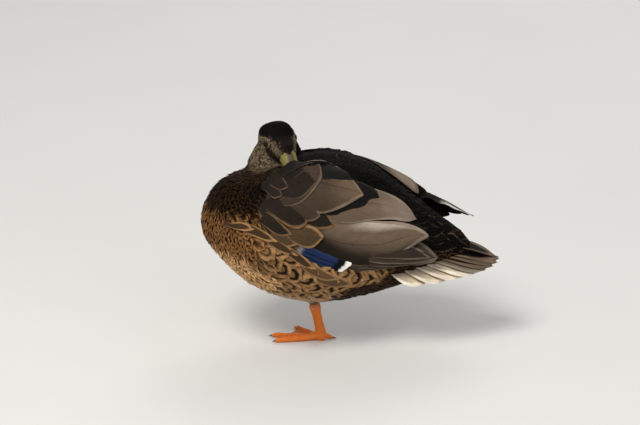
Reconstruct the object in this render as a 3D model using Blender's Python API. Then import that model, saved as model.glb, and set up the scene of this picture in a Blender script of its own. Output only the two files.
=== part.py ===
"""A resting drake mallard in eclipse plumage, life size.

It stands on its left leg, with the right leg drawn up under the flank and the head turned
back over the left shoulder, so that the bill is tucked under the scapular feathers.
The breast faces -X, the tail +X and the duck's left side -Y. The floor is z = 0, and the
origin is under the middle of the whole bird.

Sections of the body are superellipses across the X axis. An angle round a section is
counted in degrees from the top of the back: 90 is the flank and 180 the middle of the belly.
"""

import math

import bmesh
import bpy
from mathutils import Matrix, Vector

MM = 0.001
GAP = 0.35 * MM  # left between pieces that touch
LEFT, RIGHT = -1, 1
SECTION_POWER = 2.12  # 2 is a true ellipse

# Trunk, plumage included: x, half width, height of the centre, half height, in mm.
TRUNK = [
    (-179.4, 0, 154, 0),
    (-176.5, 18, 154.3, 17),
    (-168, 35, 155.6, 32),
    (-156, 51, 155.6, 45.5),
    (-140, 64, 151.8, 58.5),
    (-118, 73.5, 146.5, 71.5),
    (-93.5, 78, 143.9, 80.5),
    (-69, 79.5, 143.1, 86.8),
    (-44.5, 79, 144, 91.5),
    (-20, 75.5, 145, 92),
    (17, 66.5, 144, 84.5),
    (53.5, 52.5, 137.5, 67),
    (75, 43, 131, 55.5),
    (97.5, 33.5, 125.5, 42.5),
    (120, 24.5, 124, 27),
    (138, 14.5, 122.5, 13),
    (149, 0, 121.5, 0),
]
TRUNK_RINGS, TRUNK_SIDES = 18, 20
TRUNK_ENDS = 0.35  # the closed ends are this share of a row inside the table's

# Behind the hips the folded wings follow a wider form than the rump: x, half width, centre, half height.
WING_REAR = [
    (20, 68, 144, 86),
    (53, 61, 140.5, 70),
    (75, 56, 136.5, 61),
    (98, 48, 131, 52),
    (120, 40.5, 126, 43.5),
    (135, 35.5, 122.5, 36.5),
    (152, 30, 120, 30),
]

# Head: the point midway between the eyes, and how the head is turned.
EYES_MIDDLE = Vector((-83, 5, 250.8)) * MM
HEAD_YAW, HEAD_PITCH, HEAD_ROLL = 25, -20, 5.5
AXIS_BELOW_EYES = 4 * MM
# Distance ahead of the eyes, half width, height above and depth below the head's axis, in mm.
HEAD = [
    (25, 0, 0, 0),
    (24.5, 9, 9, 7),
    (20, 12.5, 13, 9.5),
    (11, 16.8, 18, 13),
    (2, 20.3, 21.8, 16.5),
    (-8, 21.8, 23.4, 20),
    (-18, 21, 21.8, 22.5),
    (-27, 17.5, 14.5, 21),
    (-34, 12, 7, 15),
    (-38, 0, -2, 2),
]
HEAD_RINGS, HEAD_SIDES = 12, 14
HEAD_ENDS = 0.3
HEAD_SQUARENESS = 2.5  # 2 is an ellipse
EYE_RADIUS = 5 * MM
EYE_OUT, EYE_UP = 16.2 * MM, 1 * MM  # from the head's axis to the eyeball's centre

# Bill: distance ahead of its base, half width and height of each mandible, in mm.
BILL_DROOP = 14
BILL_BASE_AHEAD, BILL_BASE_BELOW = 20.5 * MM, 6.5 * MM
UPPER_BILL = [
    (0, 10.6, 12.5),
    (8, 10, 10.6),
    (18, 9.2, 7.6),
    (28, 9.4, 5.8),
    (38, 10.6, 4.8),
    (46, 11, 4.3),
    (51, 8.8, 3.6),
    (53.5, 4, 2.2),
]
LOWER_BILL = [
    (0, 9.2, 6.5),
    (10, 8.4, 4.6),
    (24, 7.8, 3.2),
    (38, 9, 2.6),
    (46, 9, 2.2),
    (50.5, 5, 1.4),
]

BILL_STEPS, BILL_RIM = 6, 0.4  # faces over each mandible, and the height of its straight rim in mm
BILL_SQUARENESS = 2.5

# Neck: centre and its radii along and across the body, from inside the trunk to inside the head.
NECK = [
    (-94, 11, 183, 45, 48),
    (-92, 14, 201, 40, 40),
    (-88, 19, 218, 34.5, 31.5),
    (-87, 21, 234, 29.5, 25),
    (-86, 22, 247, 22, 18),
]
NECK_RINGS, NECK_SIDES = 8, 16

# Layers of feathers: name, height over the body on the left and the right, the share of it left at
# the edges, reach below the body's surface, colour. Each lies over the last.
WING_LAYERS = [
    ("secondaries", (2.6, 2.6), 0.5, 4, (0.03, 0.05, 0.2)),
    ("primaries", (2.4, 6.4), 0.5, 0.2, (0.08, 0.06, 0.045)),
    ("tertials", (4.6, 7.2), 0.45, 1.2, (0.28, 0.22, 0.17)),
    ("coverts", (5, 3.6), 0.45, 4, (0.1, 0.065, 0.04)),
    ("scapulars", (9, 5.5), 0.7, 4, (0.16, 0.115, 0.08)),
    ("flank", (5, 5), 0.45, 4, (0.3, 0.19, 0.1)),
]
PANEL_STEPS_ALONG, PANEL_STEPS_ACROSS = 7, 4

# Their edges: x, angle of the upper edge and of the lower one.
SECONDARIES = [(-66, 66, 93), (-35, 74, 104), (0, 84, 114), (26, 92, 112)]
COVERTS = [(-122, 40, 72), (-98, 32, 82), (-64, 34, 91), (-35, 40, 98), (-8, 62, 96)]
FLANK = [
    (-150, 50, 66),
    (-118, 68, 112),
    (-98, 78, 120),
    (-64, 88, 127),
    (-35, 98.5, 132),
    (-12, 108, 134),
    (10, 116, 130),
]
LEFT_EDGES = {
    "secondaries": SECONDARIES,
    "primaries": [(-2, 94, 118), (41, 90, 113), (67, 88, 112), (98, 88, 110), (108, 97, 105)],
    "tertials": [
        (-38, 42, 90),
        (-3, 46, 101),
        (30, 50, 107),
        (54, 50, 101),
        (72, 50, 91),
        (87, 56, 81),
        (99, 68, 73),
    ],
    "coverts": COVERTS,
    "scapulars": [
        (-102, 18, 40),
        (-88, 13.5, 58),
        (-60, 13.5, 66),
        (-30, 18, 68),
        (0, 30, 64),
        (19, 46, 58),
    ],
    "flank": FLANK,
}
RIGHT_EDGES = {
    "secondaries": SECONDARIES,
    "primaries": [(-2, 92, 116), (41, 70, 108), (80, 42, 92), (110, 27, 74), (138, 26, 56), (151, 32, 42)],
    "tertials": [(-38, 34, 90), (-3, 30, 101), (22, 25, 102), (54, 20, 90), (78, 20, 68), (96, 30, 46)],
    "coverts": COVERTS,
    "scapulars": [(-102, 30, 48), (-80, 26, 62), (-50, 24, 66), (-20, 24, 66), (6, 28, 60), (22, 38, 52)],
    "flank": FLANK,
}

# Tail
TAIL_FEATHERS = 14
TAIL_THICK = 2.6
TAIL_ARCH = 7  # how far the fan rises between its root and its tips, in mm
TAIL_SCALLOP = 0.06  # share of a feather's length between its tip and the notch beside it

# Standing leg
ORANGE = (0.75, 0.24, 0.04)
ANKLE = Vector((-42, -7, 47)) * MM
HEEL = Vector((-34, -3.5, 7)) * MM
SHANK = [  # share of the way from ankle to heel, half depth and half width in mm
    (-0.09, 3.4, 2.8),
    (-0.03, 6.2, 4.9),
    (0.06, 7.1, 5.6),
    (0.16, 6.4, 4.7),
    (0.3, 5.6, 3.8),
    (0.55, 5.5, 3.7),
    (0.78, 5.8, 4.0),
    (0.92, 6.4, 4.8),
    (1.0, 5.2, 4.0),
]
SHIN_TOP = Vector((-47, -17, 78)) * MM
# Heel pad: height over the heel, half depth and half width, in mm
HEEL_PAD = [(3, 3.2, 3.2), (0, 6.6, 5.8), (-4, 6.8, 6.2), (-7.6, 4.9, 4.7)]
SHIN = [(0.0, 6.8, 6.2), (0.14, 9, 8.2), (0.4, 12, 10.5), (0.75, 15, 13), (1, 12, 10)]
FOOT_TURN = 8  # the middle toe points this far inwards of straight ahead
# Toe: name, degrees from the middle toe, length and root radius in mm
TOES = [("outer", -18, 56, 4.1), ("middle", 0, 60, 3.9), ("inner", 40, 46, 3.5)]
# Share of a toe's length, and the share of its radius there: it swells at its joints.
TOE_SWELLS = [
    (0, 1.15),
    (0.35, 0.86),
    (0.54, 0.95),
    (0.71, 0.78),
    (0.9, 0.85),
    (1, 0.5),
]
TOE_FLATNESS = 0.85  # height of a toe's centre over the floor, as a share of its radius
TOE_RISE, TOE_RISE_SPAN = 12, 0.22  # a toe climbs to the heel over the first share of its length
HIND_TURN, HIND_LENGTH = 164, 9
HIND_ROOT = Vector((4, 0.5, 0)) * MM  # from the heel
# Share of the hind toe's length, height of its centre and radius, in mm
HIND_TOE = [(-0.3, 6.5, 2.4), (0.2, 5.4, 2.8), (0.6, 3.5, 2.8), (0.9, 2.3, 2.4), (1.05, 1.7, 1.4)]
CLAW_LENGTH, CLAW_RADIUS, CLAW_SIDES = 5.5, 1.6, 6
TOE_SIDES, LEG_SIDES = 7, 10
WEB_THICK = 1.3
WEB_START, WEB_FLOOR = 8, 0.5  # from the heel, and over the floor
WEB_REACH, WEB_HOLLOW = 0.92, 0.16  # shares of the toes' length

# Drawn-up leg
FOLDED_ANKLE = Vector((-15, 31, 56)) * MM
FOLDED_HEEL = Vector((-57, 39, 59)) * MM
FOLDED_AHEAD = Vector((-0.91, 0.2, 0.36))
FOLDED_UP = Vector((0, -0.35, 0.94))
# Closed toes: distance ahead of the heel, half height and half width, in mm
FOLDED_FOOT = [
    (-5, 2.4, 3),
    (0, 4.6, 5.4),
    (5, 4.4, 6.8),
    (16, 3.6, 7.4),
    (30, 3.0, 6.4),
    (42, 2.4, 4.6),
    (49, 1.4, 2.2),
]
UPWARD = Vector((0.02, 0.02, 1))  # a little off the vertical, so that no limb lies along it


def smooth_row(table, x):
    """The values of a table's row at x, on a smooth curve through its rows (x, values...)."""
    x = min(max(x, table[0][0]), table[-1][0])
    i = next(k for k in range(len(table) - 1) if x <= table[k + 1][0])
    low, high = table[i], table[i + 1]
    before, after = table[max(i - 1, 0)], table[min(i + 2, len(table) - 1)]
    span = high[0] - low[0]
    t = (x - low[0]) / span
    found = []
    for k in range(1, len(low)):
        slope_in = (high[k] - before[k]) / (high[0] - before[0])
        slope_out = (after[k] - low[k]) / (after[0] - low[0])
        found.append(
            (2 * t**3 - 3 * t**2 + 1) * low[k]
            + (t**3 - 2 * t**2 + t) * span * slope_in
            + (3 * t**2 - 2 * t**3) * high[k]
            + (t**3 - t**2) * span * slope_out
        )
    return found


def by_index(table):
    """The table with its row number put in front, so that it can be read past vertical tangents."""
    return [(i, *row) for i, row in enumerate(table)]


def trunk_section(x):
    """Half width, centre height and half height of the trunk at x mm."""
    rows = by_index(TRUNK)
    low, high = 0.0, len(rows) - 1.0
    for _ in range(30):
        middle = (low + high) / 2
        if smooth_row(rows, middle)[0] < x:
            low = middle
        else:
            high = middle
    return smooth_row(rows, low)[1:]


def wing_section(x):
    """The section that the folded wings follow: the trunk's, then the wider one behind the hips."""
    return trunk_section(x) if x <= WING_REAR[0][0] else smooth_row(WING_REAR, x)


def on_section(section, x, angle, side, lift):
    """The point at an angle round a section, lift mm outside it."""
    half_width, centre, half_height = section
    sine, cosine = math.sin(math.radians(angle)), math.cos(math.radians(angle))
    power = 2 / SECTION_POWER
    y = half_width * math.copysign(abs(sine) ** power, sine)
    z = half_height * math.copysign(abs(cosine) ** power, cosine)
    out = Vector((sine * half_height, cosine * half_width))
    out.normalize()
    return Vector((x, side * (y + out.x * lift), centre + z + out.y * lift)) * MM


def oval(centre, across, along, half_width, top, bottom, sides, power=2.1):
    """A ring round a centre: half_width across, and top and bottom along the other direction."""
    ring = []
    for k in range(sides):
        angle = 2 * math.pi * k / sides
        sine, cosine = math.sin(angle), math.cos(angle)
        width = half_width * math.copysign(abs(sine) ** (2 / power), sine)
        height = (top if cosine > 0 else bottom) * math.copysign(abs(cosine) ** (2 / power), cosine)
        ring.append(centre + (across * width + along * height) * MM)
    return ring


def finish(name, bm, colour, roughness=0.75):
    """Makes the object of a closed bmesh, with its faces out and its own material. An object
    with no colour is a cutter."""
    bmesh.ops.remove_doubles(bm, verts=bm.verts, dist=1e-6)
    bmesh.ops.triangulate(bm, faces=bm.faces)
    bmesh.ops.recalc_face_normals(bm, faces=bm.faces)
    mesh = bpy.data.meshes.new(name)
    bm.to_mesh(mesh)
    bm.free()
    obj = bpy.data.objects.new(name, mesh)
    if colour is None:
        cutters.objects.link(obj)
        obj.hide_render = True
        obj.display_type = "WIRE"
        return obj
    duck.objects.link(obj)
    material = bpy.data.materials.new(name)
    material.use_nodes = True
    shader = material.node_tree.nodes["Principled BSDF"]
    shader.inputs["Base Color"].default_value = (*colour, 1)
    shader.inputs["Roughness"].default_value = roughness
    mesh.materials.append(material)
    mesh.shade_smooth()
    mesh.set_sharp_from_angle(angle=math.radians(40))
    return obj


def lofted(name, rings, colour, roughness=0.75, grow=0.0):
    """Joins rings of as many points each and closes both ends, which move out by grow mm."""
    for end, inner in ((0, 1), (-1, -2)):
        ring, quarter = rings[end], len(rings[end]) // 4
        out = (ring[quarter] - ring[0]).cross(ring[2 * quarter] - ring[0]).normalized()
        out *= math.copysign(grow * MM, out.dot(ring[0] - rings[inner][0]))
        rings[end] = [point + out for point in ring]
    bm = bmesh.new()
    loops = [[bm.verts.new(point) for point in ring] for ring in rings]
    count = len(rings[0])
    for near, far in zip(loops, loops[1:]):
        for k in range(count):
            bm.faces.new((near[k], near[(k + 1) % count], far[(k + 1) % count], far[k]))
    for loop in (loops[0], loops[-1]):
        bm.faces.new(loop)
    return finish(name, bm, colour, roughness)


def with_cutter(name, rings_of, colour, roughness=0.75):
    """The object of a lofted form, and a cutter of the same form grown by the gap. rings_of gives
    the sections of the form grown by so many mm."""
    cutter = lofted(f"{name}_cutter", rings_of(GAP / MM), None, grow=GAP / MM)
    return lofted(name, rings_of(0), colour, roughness), cutter


def keep_largest(obj):
    """Drops the crumbs that a cut leaves, so that the object stays one body."""
    bm = bmesh.new()
    bm.from_mesh(obj.data)
    bmesh.ops.remove_doubles(bm, verts=bm.verts, dist=1e-6)
    left, islands = set(bm.faces), []
    while left:
        grown, front = [], [left.pop()]
        while front:
            face = front.pop()
            grown.append(face)
            for edge in face.edges:
                for other in edge.link_faces:
                    if other in left:
                        left.remove(other)
                        front.append(other)
        islands.append(grown)
    islands.sort(key=lambda faces: sum(face.calc_area() for face in faces))
    for island in islands[:-1]:
        bmesh.ops.delete(bm, geom=island, context="FACES")
    bm.to_mesh(obj.data)
    bm.free()


def combine(obj, other, operation):
    modifier = obj.modifiers.new("combine", "BOOLEAN")
    modifier.operation = operation
    modifier.solver = "EXACT"
    modifier.object = other
    graph = bpy.context.evaluated_depsgraph_get()
    made = bpy.data.meshes.new_from_object(obj.evaluated_get(graph))
    obj.modifiers.clear()
    obj.data = made
    keep_largest(obj)


def cut(obj, *forms):
    for form in forms:
        combine(obj, form, "DIFFERENCE")


def unite(obj, other):
    combine(obj, other, "UNION")
    bpy.data.objects.remove(other)


def swollen(obj):
    """A cutter of an object's own mesh, grown by the gap."""
    bm = bmesh.new()
    bm.from_mesh(obj.data)
    bm.normal_update()
    shifts = [(vert, vert.normal * GAP) for vert in bm.verts]
    for vert, shift in shifts:
        vert.co += shift
    return finish(f"{obj.name}_cutter", bm, None)


def trunk_rings(grow):
    rings = []
    for i in range(TRUNK_RINGS):
        t = TRUNK_ENDS + (len(TRUNK) - 1 - 2 * TRUNK_ENDS) * i / (TRUNK_RINGS - 1)
        x, *section = smooth_row(by_index(TRUNK), t)
        angles = [360 * k / TRUNK_SIDES for k in range(TRUNK_SIDES)]
        rings.append([on_section(section, x, angle, RIGHT, grow) for angle in angles])
    return rings


def head_frame(droop=0):
    """Forward, left and up of the head, or of what droops from it by so many degrees."""
    turn = Matrix.Rotation(math.radians(HEAD_YAW), 3, "Z")
    forward, left, up = turn @ Vector((0, -1, 0)), turn @ Vector((1, 0, 0)), Vector((0, 0, 1))
    nod = Matrix.Rotation(math.radians(-HEAD_PITCH), 3, left)
    forward, up = nod @ forward, nod @ up
    tilt = Matrix.Rotation(math.radians(HEAD_ROLL), 3, forward)
    left, up = tilt @ left, tilt @ up
    bend = Matrix.Rotation(math.radians(droop), 3, left)
    return bend @ forward, left, bend @ up


def head_rings(grow):
    forward, left, up = head_frame()
    rings = []
    for i in range(HEAD_RINGS):
        t = HEAD_ENDS + (len(HEAD) - 1 - 2 * HEAD_ENDS) * i / (HEAD_RINGS - 1)
        ahead, *sizes = smooth_row(by_index(HEAD), t)
        half_width, top, bottom = (size + grow for size in sizes)
        centre = EYES_MIDDLE + forward * (ahead * MM) - up * AXIS_BELOW_EYES
        rings.append(oval(centre, left, up, half_width, top, bottom, HEAD_SIDES, HEAD_SQUARENESS))
    return rings


def make_eye(name, side, colour, grow=0.0):
    _, left, up = head_frame()
    bm = bmesh.new()
    bmesh.ops.create_uvsphere(bm, u_segments=12, v_segments=6, radius=EYE_RADIUS + grow)
    centre = EYES_MIDDLE - left * (side * EYE_OUT) + up * EYE_UP
    bmesh.ops.translate(bm, verts=bm.verts, vec=centre)
    return finish(name, bm, colour, 0.1)


def bill_rings(table, side, grow):
    """Half-round sections along the bill, above the gape (side 1) or below it (-1)."""
    ahead_of_eyes, _, up_from_eyes = head_frame()
    forward, left, up = head_frame(BILL_DROOP)
    base = EYES_MIDDLE + ahead_of_eyes * BILL_BASE_AHEAD - up_from_eyes * BILL_BASE_BELOW
    rings = []
    for ahead, half_width, height in table:
        centre = base + forward * (ahead * MM) + up * (side * (GAP / 2 - grow * MM))
        half_width, height = half_width + grow, height + grow * 2
        points = []
        for k in range(BILL_STEPS + 1):
            turn = math.pi * k / BILL_STEPS
            sine, cosine = max(math.sin(turn), 0), math.cos(turn)
            width = half_width * math.copysign(abs(cosine) ** (2 / BILL_SQUARENESS), cosine)
            points.append((width, BILL_RIM + height * sine ** (2 / BILL_SQUARENESS)))
        points += [(half_width * share, 0) for share in (-0.97, 0, 0.97)]
        rings.append([centre + (left * across + up * (side * rise)) * MM for across, rise in points])
    return rings


def neck_rings(grow):
    rings = []
    for i in range(NECK_RINGS):
        t = i * (len(NECK) - 1) / (NECK_RINGS - 1)
        x, y, z, along, across = smooth_row(by_index(NECK), t)
        centre = Vector((x, y, z)) * MM
        along, across = along + grow, across + grow
        rings.append(oval(centre, Vector((0, 1, 0)), Vector((1, 0, 0)), across, along, along, NECK_SIDES))
    return rings


def panel_rings(side, edges, lift, rim_share, reach, grow):
    """Sections of a layer of feathers over the body, which is swollen between its edges."""
    start, end = edges[0][0], edges[-1][0]
    widen = 1.4 * grow
    rings = []
    for i in range(PANEL_STEPS_ALONG + 1):
        x = start + (end - start) * (1 - math.cos(math.pi * i / PANEL_STEPS_ALONG)) / 2
        upper, lower = smooth_row(edges, x)
        upper, lower = upper - widen, lower + widen
        swell = math.sin(math.pi * min(max(i / PANEL_STEPS_ALONG, 0.04), 0.96)) ** 0.5
        outer, inner = [], []
        for k in range(PANEL_STEPS_ACROSS + 1):
            share = k / PANEL_STEPS_ACROSS
            angle = upper + (lower - upper) * share
            rise = rim_share + (1 - rim_share) * math.sin(math.pi * share) ** 0.6 * swell
            outer.append(on_section(wing_section(x), x, angle, side, lift * rise + grow))
            inner.append(on_section(wing_section(x), x, angle, side, -reach - grow))
        rings.append(outer + inner[::-1])
    return rings


def make_wing(side, word, edges, forms):
    """The layers of one folded wing and the flank feathers over its lower edge. Returns cutters."""
    below = list(forms)
    for name, lifts, rim_share, reach, colour in WING_LAYERS:
        lift = lifts[0 if side == LEFT else 1]
        rings_of = lambda grow: panel_rings(side, edges[name], lift, rim_share, reach, grow)
        layer, cutter = with_cutter(f"{name}_{word}", rings_of, colour)
        cut(layer, *below)
        below.append(cutter)
    return below[len(forms):]


def tail_rings(grow):
    """A roof-shaped fan. Each feather ends in a blunt point, so the fan's end is scalloped."""
    per_feather, rows = 2, 3
    columns = TAIL_FEATHERS * per_feather
    rings = []
    for i in range(columns + 1):
        spread = -1 + 2 * i / columns
        root = Vector((88 - 30 * spread**2, 12 * spread + 18 * spread**3, 122 - 14 * spread**2))
        tip = Vector((181 - 91 * abs(spread) ** 2.2, 47 * spread, 105.5 - 16.5 * abs(spread)))
        from_middle = abs((i / per_feather) % 1 - 0.5) * 2
        reach = 1 - TAIL_SCALLOP * from_middle**2
        top, bottom = [], []
        for k in range(rows + 1):
            share = k / rows * reach
            point = root.lerp(tip, share)
            point.z += TAIL_ARCH * math.sin(math.pi * share) * (1 - 0.6 * abs(spread)) + grow
            top.append(point * MM)
            depth = TAIL_THICK * (1 - 0.7 * k / rows) + 2 * grow
            bottom.append((point - Vector((0, 0, depth))) * MM)
        rings.append(top + bottom[::-1])
    return rings


def limb_rings(path, sides, toward, grow):
    """Rings round a path of centres, each with a half depth along toward and a half width, in mm."""
    rings = []
    for i, (centre, depth, width) in enumerate(path):
        before, after = path[max(i - 1, 0)][0], path[min(i + 1, len(path) - 1)][0]
        axis = (after - before).normalized()
        across = axis.cross(toward).normalized()
        along = across.cross(axis).normalized()
        rings.append(oval(centre, across, along, width + grow, depth + grow, depth + grow, sides))
    return rings


def make_limb(name, path, colour, sides, toward, roughness=0.5):
    return with_cutter(name, lambda grow: limb_rings(path, sides, toward, grow), colour, roughness)


def level(degrees):
    """A level direction, counted from straight ahead towards the duck's right."""
    angle = math.radians(degrees)
    return Vector((-math.cos(angle), math.sin(angle), 0))


def toe_path(root, way, length, radius):
    """A toe from its root to its blunt end, swollen at its joints."""
    path = []
    for share, swell in TOE_SWELLS:
        height = radius * swell * TOE_FLATNESS + max(0, TOE_RISE_SPAN - share) * TOE_RISE
        centre = root + (way * (length * share) + Vector((0, 0, height))) * MM
        path.append((centre, radius * swell, radius * swell * 1.05))
    return path


def web_rings(root):
    """The skin between the toes, with a front edge that is hollowed between each two."""
    steps = 4
    rings = []
    for i in range(steps * (len(TOES) - 1) + 1):
        first = min(i // steps, len(TOES) - 2)
        share = i / steps - first
        (_, turn_a, length_a, _), (_, turn_b, length_b, _) = TOES[first], TOES[first + 1]
        way = level(FOOT_TURN + turn_a + (turn_b - turn_a) * share)
        reach = length_a + (length_b - length_a) * share
        reach *= WEB_REACH - WEB_HOLLOW * math.sin(math.pi * share)
        thin, thick = WEB_FLOOR + WEB_THICK * 0.7, WEB_FLOOR + WEB_THICK * 1.8
        corners = ((WEB_START, WEB_FLOOR), (reach, WEB_FLOOR), (reach, thin), (WEB_START, thick))
        rings.append([root + (way * ahead + Vector((0, 0, height))) * MM for ahead, height in corners])
    return rings


def make_claw(name, root, way, foot_cutter):
    """A short blunt claw that carries on from the end of its toe and bends down."""
    path = []
    for share in (0, 0.3, 0.6, 0.85, 1):
        radius = CLAW_RADIUS * (1 - 0.78 * share**1.5)
        centre = root + (way * (CLAW_LENGTH * share) - Vector((0, 0, 0.2 * CLAW_LENGTH * share**2))) * MM
        centre.z = max(centre.z, (radius + 0.2) * MM)
        path.append((centre, radius, radius * 0.9))
    claw = lofted(name, limb_rings(path, CLAW_SIDES, UPWARD, 0), (0.12, 0.07, 0.04), 0.5)
    cut(claw, foot_cutter)


def make_standing_foot(tarsus_cutter):
    heel = [(HEEL + Vector((0, 0, height)) * MM, depth, width) for height, depth, width in HEEL_PAD]
    foot = lofted("foot_left", limb_rings(heel, LEG_SIDES, Vector((1, 0, 0)), 0), ORANGE, 0.5)
    root = Vector((HEEL.x, HEEL.y, 0))
    for _, turn, length, radius in TOES:
        path = toe_path(root, level(FOOT_TURN + turn), length, radius)
        unite(foot, lofted("toe", limb_rings(path, TOE_SIDES, UPWARD, 0), None))
    unite(foot, lofted("web", web_rings(root), None))
    hind_way, hind_root = level(FOOT_TURN + HIND_TURN), root + HIND_ROOT
    path = []
    for share, height, radius in HIND_TOE:
        centre = hind_root + (hind_way * (HIND_LENGTH * share) + Vector((0, 0, height))) * MM
        path.append((centre, radius, radius))
    unite(foot, lofted("toe", limb_rings(path, TOE_SIDES, UPWARD, 0), None))
    bm = bmesh.new()
    bmesh.ops.create_cube(bm, size=0.4)
    bmesh.ops.translate(bm, verts=bm.verts, vec=(0, 0, -0.2))
    cut(foot, finish("floor_cutter", bm, None), tarsus_cutter)
    foot_cutter = swollen(foot)
    for name, turn, length, radius in TOES:
        way = level(FOOT_TURN + turn)
        end = root + (way * (length - 1.5) + Vector((0, 0, radius * 0.62))) * MM
        make_claw(f"claw_left_{name}", end, way, foot_cutter)
    end = hind_root + (hind_way * HIND_LENGTH + Vector((0, 0, 1.9))) * MM
    make_claw("claw_left_hind", end, hind_way, foot_cutter)


for leftover in list(bpy.data.objects):
    bpy.data.objects.remove(leftover)
duck = bpy.data.collections.new("duck")
cutters = bpy.data.collections.new("cutters")
for collection in (duck, cutters):
    bpy.context.scene.collection.children.link(collection)

# Head and bill
head, head_cutter = with_cutter("head", head_rings, (0.07, 0.05, 0.035))
for word, side in (("left", LEFT), ("right", RIGHT)):
    make_eye(f"eye_{word}", side, (0.01, 0.007, 0.005))
    cut(head, make_eye(f"eye_{word}_cutter", side, None, GAP))
bills = []
bill_colour = (0.36, 0.32, 0.08)
for name, table, side in (("bill_upper", UPPER_BILL, 1), ("bill_lower", LOWER_BILL, -1)):
    rings_of = lambda grow: bill_rings(table, side, grow)
    bill, bill_cutter = with_cutter(name, rings_of, bill_colour, 0.4)
    cut(bill, head_cutter)
    bills.append(bill_cutter)

# Legs
backward = Vector((1, 0, 0))
shank = [(ANKLE.lerp(HEEL, share), depth, width) for share, depth, width in SHANK]
_, tarsus_cutter = make_limb("tarsus_left", shank, ORANGE, LEG_SIDES, backward)
make_standing_foot(tarsus_cutter)
shin = [(ANKLE.lerp(SHIN_TOP, share), depth, width) for share, depth, width in SHIN]
thigh, _ = make_limb("thigh_left", shin, (0.2, 0.13, 0.08), LEG_SIDES, backward, 0.75)
folded_shank = [(FOLDED_ANKLE.lerp(FOLDED_HEEL, share), depth, width) for share, depth, width in SHANK]
_, folded_cutter = make_limb("tarsus_right", folded_shank, ORANGE, LEG_SIDES, UPWARD)
closed = [(FOLDED_HEEL + FOLDED_AHEAD * (ahead * MM), depth, width) for ahead, depth, width in FOLDED_FOOT]
folded_foot, folded_foot_cutter = make_limb("foot_right", closed, ORANGE, LEG_SIDES, FOLDED_UP)
cut(folded_foot, folded_cutter)

# Body
trunk, trunk_cutter = with_cutter("trunk", trunk_rings, (0.16, 0.085, 0.04))
cut(trunk, head_cutter, *bills, tarsus_cutter, folded_cutter, folded_foot_cutter)
cut(thigh, tarsus_cutter, trunk_cutter)
neck, neck_cutter = with_cutter("neck", neck_rings, (0.06, 0.04, 0.025))
cut(neck, trunk_cutter, head_cutter, *bills)

# Wings and tail
forms = [trunk_cutter, neck_cutter, head_cutter, *bills]
layers = make_wing(LEFT, "left", LEFT_EDGES, forms) + make_wing(RIGHT, "right", RIGHT_EDGES, forms)
tail = lofted("tail", tail_rings(0), (0.3, 0.23, 0.17))
cut(tail, trunk_cutter, *layers)
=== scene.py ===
import itertools
import math

import bmesh
import bpy
import numpy as np
from mathutils import Matrix, Vector
from mathutils.bvhtree import BVHTree


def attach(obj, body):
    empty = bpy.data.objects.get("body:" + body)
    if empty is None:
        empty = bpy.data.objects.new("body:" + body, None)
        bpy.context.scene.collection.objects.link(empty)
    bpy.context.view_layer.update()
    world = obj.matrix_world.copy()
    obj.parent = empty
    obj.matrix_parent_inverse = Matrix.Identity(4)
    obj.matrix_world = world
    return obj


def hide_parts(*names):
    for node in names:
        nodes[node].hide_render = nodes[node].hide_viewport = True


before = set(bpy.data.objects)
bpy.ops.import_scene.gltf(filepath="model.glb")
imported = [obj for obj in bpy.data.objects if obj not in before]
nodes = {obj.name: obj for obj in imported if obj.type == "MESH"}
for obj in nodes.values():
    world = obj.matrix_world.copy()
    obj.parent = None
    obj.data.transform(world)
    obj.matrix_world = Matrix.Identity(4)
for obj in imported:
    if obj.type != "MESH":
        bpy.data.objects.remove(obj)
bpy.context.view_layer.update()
mm = 0.001
rng = np.random.default_rng(11)


# small helpers

def linear(colour):
    c = np.asarray(colour, float) / 255
    return np.where(c <= 0.04045, c / 12.92, ((c + 0.055) / 1.055) ** 2.4)


def ease(value, low, high):
    t = np.clip((np.asarray(value, float) - low) / (high - low), 0, 1)
    return t * t * (3 - 2 * t)


def unit(vectors):
    return vectors / np.maximum(np.linalg.norm(vectors, axis=-1, keepdims=True), 1e-9)


def blend(first, second, share):
    return first * (1 - share) + second * share


def treeOf(meshes):
    corners, faces = [], []
    for mesh in meshes:
        faces += [[len(corners) + i for i in face.vertices] for face in mesh.polygons]
        corners += [vert.co.copy() for vert in mesh.vertices]
    return BVHTree.FromPolygons(corners, faces)


def solids(names):
    return [nodes[name].data for name in names]


def named(start):
    return [name for name in sorted(nodes) if name.startswith(start)]


def readAll(items, word, kind=float, width=3):
    found = np.zeros(len(items) * width, kind)
    items.foreach_get(word, found)
    return found.reshape(-1, width)


def pointsOf(mesh):
    return readAll(mesh.vertices, "co")


def normalsOf(mesh):
    return readAll(mesh.vertex_normals, "vector")


def meshOf(bm, name):
    mesh = bpy.data.meshes.new(name)
    bm.to_mesh(mesh)
    bm.free()
    return mesh


def addObject(name, data):
    obj = bpy.data.objects.new(name, data)
    bpy.context.scene.collection.objects.link(obj)
    return obj


def painted(mesh, name, kind, values):
    # an attribute for a material to read, one entry for each vertex
    word = {"FLOAT": "value", "FLOAT_VECTOR": "vector", "FLOAT_COLOR": "color"}[kind]
    if kind == "FLOAT_COLOR" and values.shape[-1] == 3:
        values = np.concatenate([values, np.ones((*values.shape[:-1], 1))], -1)
    layer = mesh.attributes.new(name, kind, "POINT")
    layer.data.foreach_set(word, values.astype(np.float32).ravel())


def baked(obj, modifierType, **values):
    modifier = obj.modifiers.new(modifierType, modifierType)
    for key, value in values.items():
        setattr(modifier, key, value)
    made = bpy.data.meshes.new_from_object(obj.evaluated_get(bpy.context.evaluated_depsgraph_get()))
    obj.modifiers.clear()
    obj.data = made
    return obj


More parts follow.
